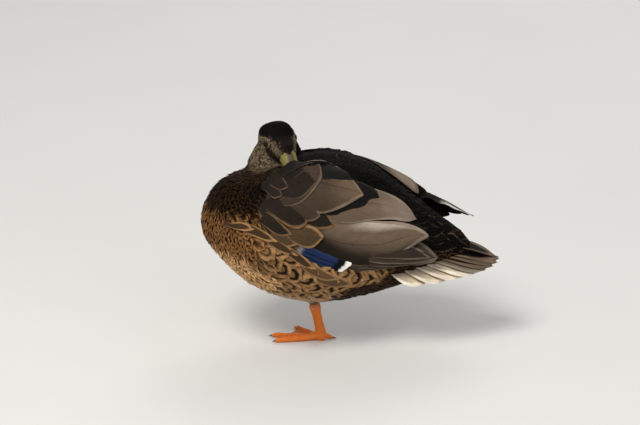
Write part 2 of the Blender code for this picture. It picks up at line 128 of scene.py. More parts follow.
# shader tools
class Value:
    # a number or colour that changes over the surface, so that + - * ** work on it
    def __init__(self, tree, socket):
        self.tree, self.socket = tree, socket

    def __add__(self, other):
        return calc(self.tree, "ADD", self, other)

    def __sub__(self, other):
        return calc(self.tree, "SUBTRACT", self, other)

    def __rsub__(self, other):
        return calc(self.tree, "SUBTRACT", other, self)

    def __mul__(self, other):
        return calc(self.tree, "MULTIPLY", self, other)

    def __pow__(self, other):
        return calc(self.tree, "POWER", self, other)


def plug(tree, value, socket):
    # links a value to a socket, or sets a number or a colour there
    value = getattr(value, "socket", value)
    if isinstance(value, bpy.types.NodeSocket):
        tree.links.new(value, socket)
    else:
        socket.default_value = value if np.isscalar(value) else (*value, 1)


def wired(tree, kind, *values):
    # a node with its first inputs plugged in
    node = tree.nodes.new(kind)
    for socket, value in zip(node.inputs, values):
        plug(tree, value, socket)
    return node


def combined(tree, kind, *values):
    return Value(tree, wired(tree, kind, *values).outputs[0])


def parted(tree, kind, value):
    return [Value(tree, socket) for socket in wired(tree, kind, value).outputs]


def calc(tree, operation, *values, clamp=False):
    node = wired(tree, "ShaderNodeMath", *values)
    node.operation = operation
    node.use_clamp = clamp
    return Value(tree, node.outputs[0])


def stepUp(value, low, high):
    node = wired(value.tree, "ShaderNodeMapRange", value, low, high)
    node.interpolation_type = "SMOOTHSTEP"
    return Value(value.tree, node.outputs[0])


def mixed(tree, share, first, second, mode="MIX"):
    node = tree.nodes.new("ShaderNodeMix")
    node.data_type = "RGBA"
    node.blend_type = mode
    for socket, value in zip((node.inputs[0], node.inputs[6], node.inputs[7]), (share, first, second)):
        plug(tree, value, socket)
    return Value(tree, node.outputs[2])


def shaded(tree, colour, tone):
    # a colour made darker or lighter by a number
    grey = combined(tree, "ShaderNodeCombineColor", tone, tone, tone)
    return mixed(tree, 1.0, colour, grey, "MULTIPLY")


def noiseOf(tree, vector, scale, detail=3.0, roughness=0.55):
    node = tree.nodes.new("ShaderNodeTexNoise")
    for word, value in (("Vector", vector), ("Scale", scale), ("Detail", detail), ("Roughness", roughness)):
        plug(tree, value, node.inputs[word])
    return Value(tree, node.outputs["Fac"])


def objectPlace(tree):
    return tree.nodes.new("ShaderNodeTexCoord").outputs["Object"]


def attributeOf(tree, name, word="Color"):
    node = tree.nodes.new("ShaderNodeAttribute")
    node.attribute_name = name
    return Value(tree, node.outputs[word])


def newMaterial(name, roughness=0.6):
    material = bpy.data.materials.new(name)
    material.use_nodes = True
    tree = material.node_tree
    shader = tree.nodes["Principled BSDF"]
    shader.inputs["Roughness"].default_value = roughness
    return material, tree, shader


def bumpInto(tree, shader, height, strength, distance):
    bump = tree.nodes.new("ShaderNodeBump")
    for word, value in (("Strength", strength), ("Distance", distance), ("Height", height)):
        plug(tree, value, bump.inputs[word])
    plug(tree, bump.outputs["Normal"], shader.inputs["Normal"])


def shadeBy(tree, shader, **values):
    # plugs values into the shader, each under its input's name with a _ for a space
    for word, value in values.items():
        plug(tree, value, shader.inputs[word.replace("_", " ")])


def coatOf(mesh, material):
    mesh.materials.clear()
    mesh.materials.append(material)


def buildVaneGroup():
    # the marks of one vane: a pale fringe, a ring inside it, barbs and a shaft
    group = bpy.data.node_groups.new("vaneMarks", "ShaderNodeTree")
    numbers = ("Across", "Along", "Fringe", "Mark", "Streak", "Seed", "Barbs", "Shaft", "Ragged")
    sockets = [(name, "INPUT", "Float") for name in numbers]
    sockets += [("Place", "INPUT", "Vector"), ("Centre", "INPUT", "Color"), ("Edge", "INPUT", "Color")]
    sockets += [("Color", "OUTPUT", "Color")]
    sockets += [(name, "OUTPUT", "Float") for name in ("Height", "Roughness")]
    for name, way, kind in sockets:
        group.interface.new_socket(name, in_out=way, socket_type="NodeSocket" + kind)
    given = {socket.name: Value(group, socket) for socket in group.nodes.new("NodeGroupInput").outputs}
    across, along, seed, ragged = (given[name] for name in ("Across", "Along", "Seed", "Ragged"))
    side = calc(group, "ABSOLUTE", across * 2 - 1)
    far = calc(group, "MAXIMUM", along * 1.5 - 0.5, 0)
    rim = (side**2.4 + far**2.4) ** (1 / 2.4)  # 1 on the vane's outline
    ownPlace = combined(group, "ShaderNodeCombineXYZ", across * 3, along * 2.2, seed * 60)
    wobble = noiseOf(group, ownPlace, 1.7) - 0.5
    fray = noiseOf(group, given["Place"], 380, 4, 0.65) - 0.5
    patch = noiseOf(group, given["Place"], 34, 3, 0.6) - 0.5
    metric = rim + given["Streak"] * (side - rim) + wobble * (ragged * 0.7 + 0.1) + fray * ragged
    worn = stepUp(along, -0.15, 0.6) * (wobble * 1.6 + 0.85)
    fringe = stepUp(metric, given["Fringe"] * -1.3 + 1, given["Fringe"] * -0.5 + 1)
    fringe = calc(group, "MULTIPLY", fringe, worn, clamp=True)
    ring = stepUp(metric, 0.1, 0.26) - stepUp(metric, 0.38, 0.54)
    ring = calc(group, "MULTIPLY", ring, given["Mark"], clamp=True)
    colour = mixed(group, ring * 0.7, given["Centre"], given["Edge"])
    colour = mixed(group, fringe, colour, given["Edge"])
    slanted = (side * -0.3 + along) * given["Barbs"]  # barbs run outwards and back
    barbs = calc(group, "SINE", wobble * 4 + slanted * (2 * math.pi))
    bundle = combined(group, "ShaderNodeCombineXYZ", slanted * 0.3, side * 1.4, seed * 60)
    bundles = noiseOf(group, bundle, 1.0, 3.0, 0.6) - 0.5
    shaft = (1 - stepUp(side, 0.012, 0.05)) * given["Shaft"]
    tone = barbs * 0.05 + wobble * 0.4 + patch * 0.7 + bundles * 0.42 + fray * ragged * 1.6 - shaft * 0.3 + 1
    out = group.nodes.new("NodeGroupOutput").inputs
    plug(group, shaded(group, colour, tone), out["Color"])
    plug(group, shaft * 1.4 + barbs * 0.35, out["Height"])
    plug(group, wobble * 0.25 + 0.62, out["Roughness"])
    return group


vaneGroup = buildVaneGroup()


def vaneMaterial(name, barbs, shaft, ragged, bump=0.25, gloss=0.03):
    material, tree, shader = newMaterial(name)
    uv = tree.nodes.new("ShaderNodeUVMap")
    uv.uv_map = "vane"
    across, along = parted(tree, "ShaderNodeSeparateXYZ", uv.outputs[0])[:2]
    fringe, mark, streak = parted(tree, "ShaderNodeSeparateColor", attributeOf(tree, "vaneForm"))
    seed, place = attributeOf(tree, "vaneForm", "Alpha"), objectPlace(tree)
    centre, edge = attributeOf(tree, "centreTone"), attributeOf(tree, "edgeTone")
    marks = tree.nodes.new("ShaderNodeGroup")
    marks.node_tree = vaneGroup
    given = (across, along, fringe, mark, streak, seed, barbs, shaft, ragged, place, centre, edge)
    for socket, value in zip(marks.inputs, given):
        plug(tree, value, socket)
    shadeBy(tree, shader, Base_Color=marks.outputs["Color"], Roughness=marks.outputs["Roughness"])
    shadeBy(tree, shader, Specular_IOR_Level=gloss)
    bumpInto(tree, shader, marks.outputs["Height"], bump, 0.0004)
    return material


# where the body is
trunkAxis = {
    "x": (-180, -140, -118, -93.5, -20, 17, 53.5, 75, 97.5, 120, 152),
    "z": (154, 151.8, 146.5, 143.9, 145, 144, 137.5, 131, 125.5, 124, 121),
    "halfHeight": (60, 75, 82, 88, 90, 86, 67, 56, 44, 30, 22),
}
head = {
    "eyesMiddle": np.array((-83, 5, 250.8)),
    "yaw": 25,
    "pitch": -20,
    "roll": 5.5,
    "eyeOut": 16.2,
    "eyeUp": 1,
    "eyeRadius": 5.0,
    "billDroop": 14,
    "billAhead": 20.5,
    "billBelow": 6.5,
}


def axisAt(x):
    return np.interp(x, trunkAxis["x"], trunkAxis["z"])


def headFrame(droop=0):
    turn = Matrix.Rotation(math.radians(head["yaw"]), 3, "Z")
    forward, left = turn @ Vector((0, -1, 0)), turn @ Vector((1, 0, 0))
    up = Vector((0, 0, 1))
    nod = Matrix.Rotation(math.radians(-head["pitch"]), 3, left)
    forward, up = nod @ forward, nod @ up
    tilt = Matrix.Rotation(math.radians(head["roll"]), 3, forward)
    left, up = tilt @ left, tilt @ up
    bend = Matrix.Rotation(math.radians(droop), 3, left)
    return tuple(np.array(v) for v in (bend @ forward, left, bend @ up))


headAhead, headLeft, headUp = headFrame()
billAhead, billLeft, billUp = headFrame(head["billDroop"])
billBase = head["eyesMiddle"] + headAhead * head["billAhead"] - headUp * head["billBelow"]


def inHead(points):
    away = points - head["eyesMiddle"]
    return away @ headAhead, away @ headLeft, away @ headUp


fieldStep = 3.0
fieldPlaces = (np.arange(-186, 187, fieldStep), np.arange(-180, 181, fieldStep))


def radiusField(names, spare=None):
    # how far a layer reaches from the trunk's axis, on a grid of x and angle
    xs, angles = fieldPlaces
    tree = treeOf(solids(names))
    field = np.full((len(xs), len(angles)), np.nan)
    for i, x in enumerate(xs):
        for k, angle in enumerate(np.radians(angles)):
            out = Vector((0, -math.sin(angle), math.cos(angle)))
            found = tree.ray_cast(Vector((x, 0, axisAt(x))) * mm + out * 0.2, -out, 0.2)
            if found[0] is not None:
                field[i, k] = 200 - found[3] / mm
    if spare is not None:
        return np.where(np.isnan(field), spare, field)
    for column in field.T:  # past the trunk's ends the last section holds
        good = ~np.isnan(column)
        column[:] = np.interp(xs, xs[good], column[good])
    return field


def blurred(field, passes):
    for _ in range(passes):
        padded = np.pad(field, 1, mode="edge")
        beside = padded[:-2, 1:-1] + padded[2:, 1:-1] + padded[1:-1, :-2] + padded[1:-1, 2:]
        field = (field * 2 + beside) / 6
    return field


def readField(field, x, angle):
    xs, angles = fieldPlaces
    i = np.clip((x - xs[0]) / fieldStep, 0, len(xs) - 1.001)
    k = np.clip((angle - angles[0]) / fieldStep, 0, len(angles) - 1.001)
    i0, k0 = i.astype(int), k.astype(int)
    fi, fa = i - i0, k - k0
    here = blend(field[i0, k0], field[i0 + 1, k0], fi)
    beyond = blend(field[i0, k0 + 1], field[i0 + 1, k0 + 1], fi)
    return blend(here, beyond, fa)


def onBody(x, angle, reach):
    a = np.radians(angle)
    return np.stack([x, -np.sin(a) * reach, axisAt(x) + np.cos(a) * reach], -1)


# skin
skinForm = {
    "voxel": 2.2,
    "legVoxel": 0.8,
    "depth": 2.6,  # how far the skin lies under the plumage, in mm
    "headDepth": 1.3,
    "wingDepth": 4.2,
    "faceRaised": 0.85,
    "grow": 0.3,
    "dull": 0.6,  # the centre colour's share in the skin's own
}


def ownersOver(points, outs):
    # the outermost solid over each place of the skin
    owners = []
    for point, out in zip(points, outs):
        hit = cadTree.ray_cast(Vector(point + out * 16 * mm), Vector(-out), 24 * mm)
        owners.append(cadOwners[hit[2]] if hit[0] is not None else "trunk")
    return np.array(owners)


def joinedCopies(name, names, grow=0):
    # the solids in one mesh, each a little larger so that they meet
    whole = bmesh.new()
    for each in names:
        bm = bmesh.new()
        bm.from_mesh(nodes[each].data)
        bmesh.ops.remove_doubles(bm, verts=bm.verts, dist=1e-6)
        bm.normal_update()
        shifts = [(vert, vert.normal * (grow * mm)) for vert in bm.verts]
        for vert, shift in shifts:
            vert.co += shift
        mesh = meshOf(bm, each)
        whole.from_mesh(mesh)
        bpy.data.meshes.remove(mesh)
    return addObject(name, meshOf(whole, name))


def largestOnly(mesh):
    # keeps the piece with the most vertices
    bm = bmesh.new()
    bm.from_mesh(mesh)
    left, best = set(bm.verts), set()
    while left:
        front = {left.pop()}
        grown = set(front)
        while front:
            front = {edge.other_vert(vert) for vert in front for edge in vert.link_edges} & left
            left -= front
            grown |= front
        best = max(best, grown, key=len)
    bmesh.ops.delete(bm, geom=[vert for vert in bm.verts if vert not in best], context="VERTS")
    bm.to_mesh(mesh)
    bm.free()


def smoothed(mesh, rounds):
    bm = bmesh.new()
    bm.from_mesh(mesh)
    axes = dict.fromkeys(("use_axis_x", "use_axis_y", "use_axis_z"), True)
    for _ in range(rounds):
        bmesh.ops.smooth_vert(bm, verts=bm.verts, factor=0.5, **axes)
    bm.to_mesh(mesh)
    bm.free()


wingCover = named("scapulars") + named("coverts")
bodyNodes = ["trunk", "neck", "head", "thigh_left"] + named("flank") + wingCover
legNodes = ["tarsus_left", "foot_left", "tarsus_right", "foot_right"]
eyeSpots = []
for side in (1, -1):
    eyeSpots.append(head["eyesMiddle"] + side * headLeft * head["eyeOut"] + headUp * head["eyeUp"])


def toEyes(points):
    return np.min([np.linalg.norm(points - spot, axis=1) for spot in eyeSpots], axis=0)


def angleOf(places):
    # the angle round the trunk's axis, left side plus, of places in metres
    return np.degrees(np.arctan2(-places[:, 1], places[:, 2] - axisAt(places[:, 0] / mm) * mm))


bodySkin = joinedCopies("bodySkin", bodyNodes, skinForm["grow"])
baked(bodySkin, "REMESH", mode="VOXEL", voxel_size=skinForm["voxel"] * mm)
largestOnly(bodySkin.data)
smoothed(bodySkin.data, 5)
points, outs = pointsOf(bodySkin.data), normalsOf(bodySkin.data)
cadTree = treeOf(solids(sorted(nodes)))
cadOwners = [name for name in sorted(nodes) for _ in nodes[name].data.polygons]
ahead, aside, above = inHead(points / mm)
isHead = ease(points[:, 2] / mm, 205, 228)
nearEye = toEyes(points / mm)
depth = blend(skinForm["depth"], skinForm["headDepth"], isHead)
flatter = np.maximum(ease(ahead, 10, 20), ease(nearEye, 13, 8)) * isHead
depth *= 1 - skinForm["faceRaised"] * flatter  # round the bill and the eyes
over = ownersOver(points, outs)
underWing = np.isin(over, wingCover) * (1 - isHead) * ease(np.abs(angleOf(points)), 18, 27)
depth += underWing * skinForm["wingDepth"] * ease(points[:, 0] / mm, -106, -94)
points -= outs * (depth * mm)[:, None]
bodySkin.data.vertices.foreach_set("co", points.ravel())
bodySkin.data.update()
print("body skin", len(points))

legSkins = []
for names in (legNodes[:2], legNodes[2:]):
    leg = joinedCopies("legSkin", names, skinForm["grow"])
    baked(leg, "REMESH", mode="VOXEL", voxel_size=skinForm["legVoxel"] * mm)
    largestOnly(leg.data)
    smoothed(leg.data, 2)
    legSkins.append(leg)
print("leg skin", [len(leg.data.vertices) for leg in legSkins])

smoothed(bodySkin.data, 2)
skinTree = BVHTree.FromObject(bodySkin, bpy.context.evaluated_depsgraph_get())


# what each part of the body carries: length and width in mm, the gap between roots,
# how far the tips stand off the skin, fringe, ring and streak, the colours of centre and edge

plumageRows = {
    "crown": ((4.4, 2.0), 1.5, 1.0, (0.3, 0, 0.6), (5, 5, 5), (20, 19, 15)),
    "forehead": ((4.2, 1.9), 1.5, 0.9, (0.4, 0, 1), (9, 8, 7), (46, 39, 33)),
    "brow": ((4.2, 1.9), 1.5, 0.9, (0.5, 0, 1), (20, 15, 11), (154, 134, 108)),
    "eyeLine": ((3.8, 1.7), 1.4, 0.8, (0.35, 0, 1), (15, 13, 10), (76, 65, 53)),
    "cheek": ((4.4, 2.1), 1.7, 1.2, (0.5, 0, 1), (16, 12, 9), (150, 129, 103)),
    "nape": ((8, 4), 2.9, 1.8, (0.45, 0, 0.8), (14, 10, 7), (64, 46, 31)),
    # the next zone is the darker hind neck, with painted shade over the far side of the head and neck
    "hindNeck": ((6, 2.8), 2.2, 1.4, (0.3, 0, 0.8), (7, 6, 5), (34, 29, 24)),
    # the next zone's darker tones are painted shade on the upper front of the breast
    "breastHigh": ((12, 8), 5.4, 2.4, (0.42, 0, 0.4), (9, 6, 4), (50, 31, 15)),
    "breast": ((12.5, 8.5), 5.8, 2.4, (0.6, 0, 0.4), (30, 20, 13), (130, 91, 52)),
    "breastLow": ((14, 9.5), 6.6, 2.4, (0.7, 0, 0.3), (50, 35, 22), (218, 172, 120)),
    "flank": ((34, 25), 12.4, 2.8, (0.34, 1.0, 0), (27, 19, 13), (158, 120, 80)),
    "belly": ((13, 9), 5.8, 2.4, (0.7, 0.1, 0.3), (92, 72, 54), (186, 160, 134)),
    # the next zone is the mottled undertail, and its dark tones also paint shade under the rear of the body
    "vent": ((15, 9), 6.0, 2.2, (0.45, 0.3, 0.2), (10, 7, 4), (56, 40, 25)),
    "shoulder": ((24, 14), 9.5, 2.4, (0.16, 0, 0), (16, 12, 8), (96, 70, 44)),
    "mantle": ((17, 10), 6.6, 2.2, (0.2, 0, 0.3), (5, 4, 3), (30, 24, 18)),
    "back": ((13, 9), 5.4, 2.2, (0.2, 0.4, 0.2), (3, 3, 2), (19, 17, 14)),
    "rump": ((18, 12), 7.6, 2.2, (0.12, 0, 0.3), (8, 7, 6), (38, 31, 24)),
    "tailRoot": ((34, 19), 11, 2.2, (0.1, 0, 0.2), (10, 8, 6), (64, 50, 38)),
    "thigh": ((8, 5), 3.2, 1.4, (0.6, 0, 0.4), (44, 32, 22), (130, 104, 78)),
}
plumageWords = ("size", "gap", "lift", "form", "centre", "edge")
plumage = {zone: dict(zip(plumageWords, row)) for zone, row in plumageRows.items()}
zoneNames = list(plumage)
brightness = 1.0  # all plumage colours are scaled by this


headLines = {  # the lower edge of each band of the head: ahead of the eyes, and over them
    "crown": ((-30, -14, -4.8, 2.2, 9.7, 16.1, 23.4), (-2, 4.7, 8.3, 10.6, 9.8, 8, 3.9)),
    "brow": ((-22.6, -7.7, 0, 1.8, 10.2, 17.3, 22.2), (-11.5, -0.3, 3.4, 4.7, 2.3, -0.5, -3.7)),
    "stripe": ((-22.6, -7.7, 0, 5.3, 11.1, 15), (-15.5, -4.5, -1.8, -5.2, -11, -15)),
}


def zoneShares(points, owners):
    # how much of each zone a place belongs to. rise is its height over the trunk's axis, as a share
    x, y, z = points.T
    rise = (z - axisAt(x)) / np.interp(x, trunkAxis["x"], trunkAxis["halfHeight"])
    ahead, aside, above = inHead(points)
    far = np.linalg.norm((points - np.array((-88, 9, 244))) * np.array((1, 1, 0.9)), axis=1)
    upHead = ease(far, 41, 37) * ease(z, 209 + 13 * ease(y, 0, 24), 219 + 13 * ease(y, 0, 24))
    upNeck = ease(z, 204, 212) * (1 - upHead) * ease(np.hypot(x + 98, y - 14), 52, 42)
    low = 1 - np.clip(upHead + upNeck, 0, 1)
    # head
    crown = ease(above - np.interp(ahead, *headLines["crown"]), -1, 1)
    crown = np.maximum(crown, ease(np.abs(aside), 6.5, 4.5) * ease(ahead, 8, 14) * ease(above, -6, 0))
    brow = ease(above - np.interp(ahead, *headLines["brow"]), -0.7, 0.7) * (1 - crown)
    stripe = ease(above - np.interp(ahead, *headLines["stripe"]), -0.9, 0.9) * (1 - brow) * (1 - crown)
    cheek = 1 - crown - brow - stripe
    # hind marks the far side of the head and neck, painted darker as shade
    hind = np.maximum(ease(aside, 15, 19) * ease(above, 5, -1), ease(aside, 2, 8) * ease(above, -8, -12))
    forehead = ease(ahead, 6, 16)
    # trunk
    front = ease(x, -82, -106) * low
    rear = ease(x, 14, 34) * low
    middle = np.clip(low - front - rear, 0, 1)
    high = ease(rise, 0.34, 0.5)
    lower = ease(rise, -0.12, -0.34)
    under = ease(rise - 0.16 * ease(x, -45, 5), -0.62, -0.82)
    mantle = ease(rise, 0.62, 0.8) * ease(x, -128, -112)
    topMiddle = ease(rise, 0.5, 0.66)
    topRear = ease(rise, -0.25, 0.05)
    tailward = ease(x, 84, 100)
    onRump = rear * topRear * (1 - tailward)
    share = {
        "crown": upHead * crown * (1 - forehead),
        "forehead": upHead * crown * forehead,
        "brow": upHead * brow * (1 - hind),
        "eyeLine": upHead * stripe * (1 - hind),
        "cheek": upHead * cheek * (1 - hind),
        "nape": upNeck * (1 - hind),
        "hindNeck": (upHead * (1 - crown) + upNeck) * hind,
        "mantle": front * mantle + middle * topMiddle * ease(x, -52, -66),
        # the upper front of the breast is painted darker as shade
        "breastHigh": front * high * (1 - mantle),
        "breast": front * (1 - high) * (1 - lower),
        "breastLow": front * lower * (1 - under),
        "flank": middle * (1 - under) * (1 - topMiddle),
        "belly": (front + middle) * under * ease(x, -22, -48),
        # under the middle and rear of the body the tones are painted darker as shade
        "vent": (front + middle) * under * (1 - ease(x, -22, -48)) + rear * (1 - topRear),
        "back": middle * topMiddle * ease(x, -66, -52) + onRump * ease(x, 60, 40),
        "rump": onRump * ease(x, 40, 60),
        "tailRoot": rear * topRear * tailward,
    }
    share = np.stack([share.get(name, 0 * x) for name in zoneNames], 1)
    for word, starts in (("shoulder", ("coverts", "scapulars")), ("thigh", "thigh")):
        mine = np.array([owner.startswith(starts) for owner in owners], float)
        if word == "shoulder":
            mine *= ease(x, -112, -100) * ease(np.abs(np.degrees(np.arctan2(-y, z - axisAt(x)))), 27, 33)
        share *= (1 - mine)[:, None]
        share[:, zoneNames.index(word)] += mine
    # the solids of the flank carry flank feathers, but for their front end and the belly
    owned = np.array([owner.startswith("flank") for owner in owners], float)
    owned *= ease(x, -128, -106) * (1 - under)
    flank = np.maximum(share[:, zoneNames.index("flank")], owned)
    share *= (1 - owned)[:, None]
    share[:, zoneNames.index("flank")] = flank
    return share / np.maximum(share.sum(1, keepdims=True), 1e-6)


def zoneValue(shares, read):
    table = np.array([np.atleast_1d(read(plumage[name])) for name in zoneNames], float)
    return shares @ table


def lieOf(points, outs):
    # which way the feathers lie at each place
    x, y, z = points.T
    fall = np.interp(x, (-180, -150, -110, -60, 0, 60, 140), (-1.6, -1.1, -0.62, -0.36, -0.2, 0, -0.1))
    flow = np.stack([np.interp(x, (-180, -150, -120), (0.25, 0.6, 1)), 0 * x, fall], 1)
    away = points - np.array((-97, 15, 225.0))
    near = ease(np.linalg.norm(away, axis=1), 84, 44)[:, None]
    away[:, 2] *= 0.6
    flow = blend(flow, unit(away) + np.array((0, 0, -0.35)), near)
    onNeck = (ease(z, 200, 214) * ease(np.hypot(x + 96, y - 17), 56, 46))[:, None]
    flow = blend(flow, np.array((0.05, 0, -1)), onNeck)
    ahead, aside, above = inHead(points)
    onHead = (ease(z, 222, 238) * ease(np.abs(ahead + 5), 50, 42))[:, None]
    backward = -headAhead - headUp * (0.25 + 0.5 * ease(-ahead, 2, 26))[:, None]
    flow = blend(flow, backward, onHead)
    flow = flow - outs * np.sum(flow * outs, 1)[:, None]
    return unit(flow)


# vanes

def vaneShape(across, along):
    bm = bmesh.new()
    bmesh.ops.create_grid(bm, x_segments=across, y_segments=along, size=1)
    made = bmesh.ops.extrude_face_region(bm, geom=bm.faces[:])
    raised = [part for part in made["geom"] if isinstance(part, bmesh.types.BMVert)]
    bmesh.ops.translate(bm, verts=raised, vec=(0, 0, 1))
    bmesh.ops.recalc_face_normals(bm, faces=bm.faces[:])
    places = np.array([vert.co for vert in bm.verts])
    quads = np.array([[vert.index for vert in face.verts] for face in bm.faces])
    sharp = np.zeros((len(places), len(places)), bool)
    for edge in bm.edges:
        if edge.calc_face_angle(0) > 1:
            a, b = (vert.index for vert in edge.verts)
            sharp[a, b] = sharp[b, a] = True
    bm.free()
    along = 1 - (1 - (places[:, 1] + 1) / 2) ** 1.4  # closer rows towards the rounded tip
    return {"u": places[:, 0], "v": along, "t": places[:, 2], "quads": quads, "sharp": sharp}


tinyVane, smallVane, wideVane, longVane = vaneShape(2, 3), vaneShape(4, 5), vaneShape(6, 7), vaneShape(8, 22)
smallOutline = {"root": 0.42, "widest": 0.62, "tip": 0.12}
smallForm = {
    "curl": 0.16,
    "notch": 0.1,  # how much shorter a vane's sides are than its middle
    "sunk": 0.4,  # how far its root lies in the skin, in mm
    "arch": 0.35,
    "lengths": (4, 14, 28),  # a longer vane is thicker
    "thick": (0.12, 0.22, 0.3),
}


def outlineAt(v, root, widest, tip):
    # half width along a vane, as a share of its widest
    rise = root + (1 - root) * np.sin(np.pi / 2 * np.clip(v / widest, 0, 1))
    fall = np.sqrt(np.clip(1 - (np.clip((v - widest) / (1 - widest), 0, 1)) ** 2.2, 0, 1))
    return rise * (tip + (1 - tip) * fall)


def buildCoat(name, shape, places, tones, patches, material):
    # places: feathers x verts x 3, in metres. tones: centre, edge and form
    count, size = places.shape[:2]
    quads = (shape["quads"][None] + (np.arange(count) * size)[:, None, None]).reshape(-1, 4)
    mesh = bpy.data.meshes.new(name)
    mesh.vertices.add(count * size)
    mesh.vertices.foreach_set("co", places.astype(np.float32).ravel())
    mesh.loops.add(quads.size)
    mesh.loops.foreach_set("vertex_index", quads.ravel().astype(np.int32))
    mesh.polygons.add(len(quads))
    mesh.polygons.foreach_set("loop_start", np.arange(0, quads.size, 4, dtype=np.int32))
    mesh.update(calc_edges=True)
    mesh.validate()
    mesh.shade_smooth()
    ends = readAll(mesh.edges, "vertices", np.int32, 2) % size
    sharp = shape["sharp"][ends[:, 0], ends[:, 1]]
    mesh.attributes.new("sharp_edge", "BOOLEAN", "EDGE").data.foreach_set("value", sharp)
    for word, values in zip(("centreTone", "edgeTone", "vaneForm"), tones):
        if values.ndim == 2:
            values = np.repeat(values[:, None, :], size, 1)
        painted(mesh, word, "FLOAT_COLOR", values)
    corners = quads.ravel()
    own = np.stack([(shape["u"] + 1) / 2, shape["v"]], 1)
    vane = np.tile(own, (count, 1))
    patch = (patches["at"][:, None, :] + own[None] * patches["size"]).reshape(-1, 2)
    for word, values in (("vane", vane), ("OFBake", patch)):
        layer = mesh.uv_layers.new(name=word)
        layer.data.foreach_set("uv", values[corners].astype(np.float32).ravel())
    mesh.materials.append(material)
    print(name, count, "vanes", len(quads) * 2, "triangles")
    return addObject(name, mesh)


def layOnSkin(shape, tree, roots, outs, lies, lengths, widths, lifts, seeds):
    # vane places bent to the skin, from the root under its neighbours to the raised tip
    u, v, t = shape["u"], shape["v"], shape["t"]
    spread = outlineAt(v, **smallOutline)
    sides = np.cross(lies, outs)
    curl = (seeds - 0.5) * smallForm["curl"]
    across = u * spread * widths[:, None] / 2 + curl[:, None] * lengths[:, None] * v**2
    along = v * lengths[:, None] * (1 - smallForm["notch"] * u**2 * v)
    flat = roots[:, None] + (sides[:, None] * across[..., None] + lies[:, None] * along[..., None]) * mm
    places = np.zeros_like(flat)
    top = np.where(t > 0.5)[0]
    below = np.array([np.argmin((u - u[i]) ** 2 + (v - v[i]) ** 2 + (t > 0.5)) for i in top])
    lifts = lifts[:, None]
    rise = (lifts * (0.85 + 0.3 * seeds[:, None]) + smallForm["sunk"]) * v**0.8 - smallForm["sunk"]
    rise += smallForm["arch"] * (1 - u**2) * v * lifts / 2.4
    thick = np.interp(lengths, smallForm["lengths"], smallForm["thick"])
    for f in range(len(roots)):
        for i, j in zip(top, below):
            at, out = (np.array(part) for part in tree.find_nearest(Vector(flat[f, i]))[:2])
            places[f, i] = at + out * rise[f, i] * mm
            places[f, j] = at + out * (rise[f, i] - thick[f]) * mm
    return places


def faceShare(points):
    ahead = inHead(points)[0]
    return ease(ahead, 6, 22) * (points[:, 2] > 224)


scatterForm = {
    "cell": 4.0,
    "tries": 9,  # places tried for each feather that fits
    "packing": 0.8,
    "faceCloser": 0.35,
    "wingAhead": -88,  # no roots under the wings behind this x and beyond this angle
    "wingTurn": 19.5,
    "farWingTurn": 24.5,
    "billHalf": 8,  # none under the bill's root: half width, under, over and behind
    "billReach": (-5, 9, -8),
    "billAhead": 4,
}


def isClear(spot, gap, key, cells, spots):
    near = int(gap / (scatterForm["cell"] * mm)) + 1
    reach = range(-near, near + 1)
    for dx, dy, dz in itertools.product(reach, reach, reach):
        for j in cells.get((key[0] + dx, key[1] + dy, key[2] + dz), ()):
            away = spots[j] - spot
            if away @ away < gap * gap:
                return False
    return True


def scatter():
    # roots by spacing: more places are tried where the feathers are smaller
    mesh = bodySkin.data
    mesh.calc_loop_triangles()
    corners = pointsOf(mesh)
    tris = readAll(mesh.loop_triangles, "vertices", np.int32)
    a, b, c = (corners[tris[:, k]] for k in range(3))
    cross = np.cross(b - a, c - a)
    areas = np.linalg.norm(cross, axis=1) / 2 / mm**2
    middles = (a + b + c) / 3
    outs = unit(cross)
    owners = ownersOver(middles, outs)
    shares = zoneShares(middles / mm, owners)
    gaps = zoneValue(shares, lambda zone: zone["gap"])[:, 0]
    gaps *= 1 - scatterForm["faceCloser"] * faceShare(middles / mm)
    weights = areas / gaps**2
    weights *= ~np.isin(owners, closedTo)
    turned = angleOf(middles)
    covered = (turned > scatterForm["wingTurn"]) | (turned < -scatterForm["farWingTurn"])
    covered &= middles[:, 0] / mm > scatterForm["wingAhead"]
    weights *= ~(np.isin(owners, wingCover) & covered)
    away = middles / mm - billBase
    onAhead, onSide, onUp = away @ billAhead, away @ billLeft, away @ billUp
    below, over, behind = scatterForm["billReach"]
    underBill = (np.abs(onSide) < scatterForm["billHalf"]) & (onAhead > behind)
    underBill &= (onUp < over) & (onUp > below)
    onBill = np.isin(owners, named("bill")) & (onAhead > scatterForm["billAhead"])
    weights *= ~(underBill | onBill)
    tries = int(weights.sum() * scatterForm["tries"])
    picks = rng.choice(len(tris), tries, p=weights / weights.sum())
    r1, r2 = np.sqrt(rng.random(tries)), rng.random(tries)
    inA, inB, inC = (share[:, None] for share in (1 - r1, r1 * (1 - r2), r1 * r2))
    spots = a[picks] * inA + b[picks] * inB + c[picks] * inC
    cells, kept = {}, []
    for i in range(tries):
        spot, gap = spots[i], gaps[picks[i]] * scatterForm["packing"] * mm
        key = tuple((spot // (scatterForm["cell"] * mm)).astype(int))
        if isClear(spot, gap, key, cells, spots):
            cells.setdefault(key, []).append(i)
            kept.append(i)
    kept = np.array(kept)
    picks = picks[kept]
    return spots[kept], outs[picks], owners[picks]


withoutRoots = ("tertials", "primaries", "secondaries", "tarsus", "foot")
closedTo = [name for name in sorted(nodes) if name.startswith(withoutRoots)]
roots, rootOuts, rootOwners = scatter()
print("roots", len(roots))

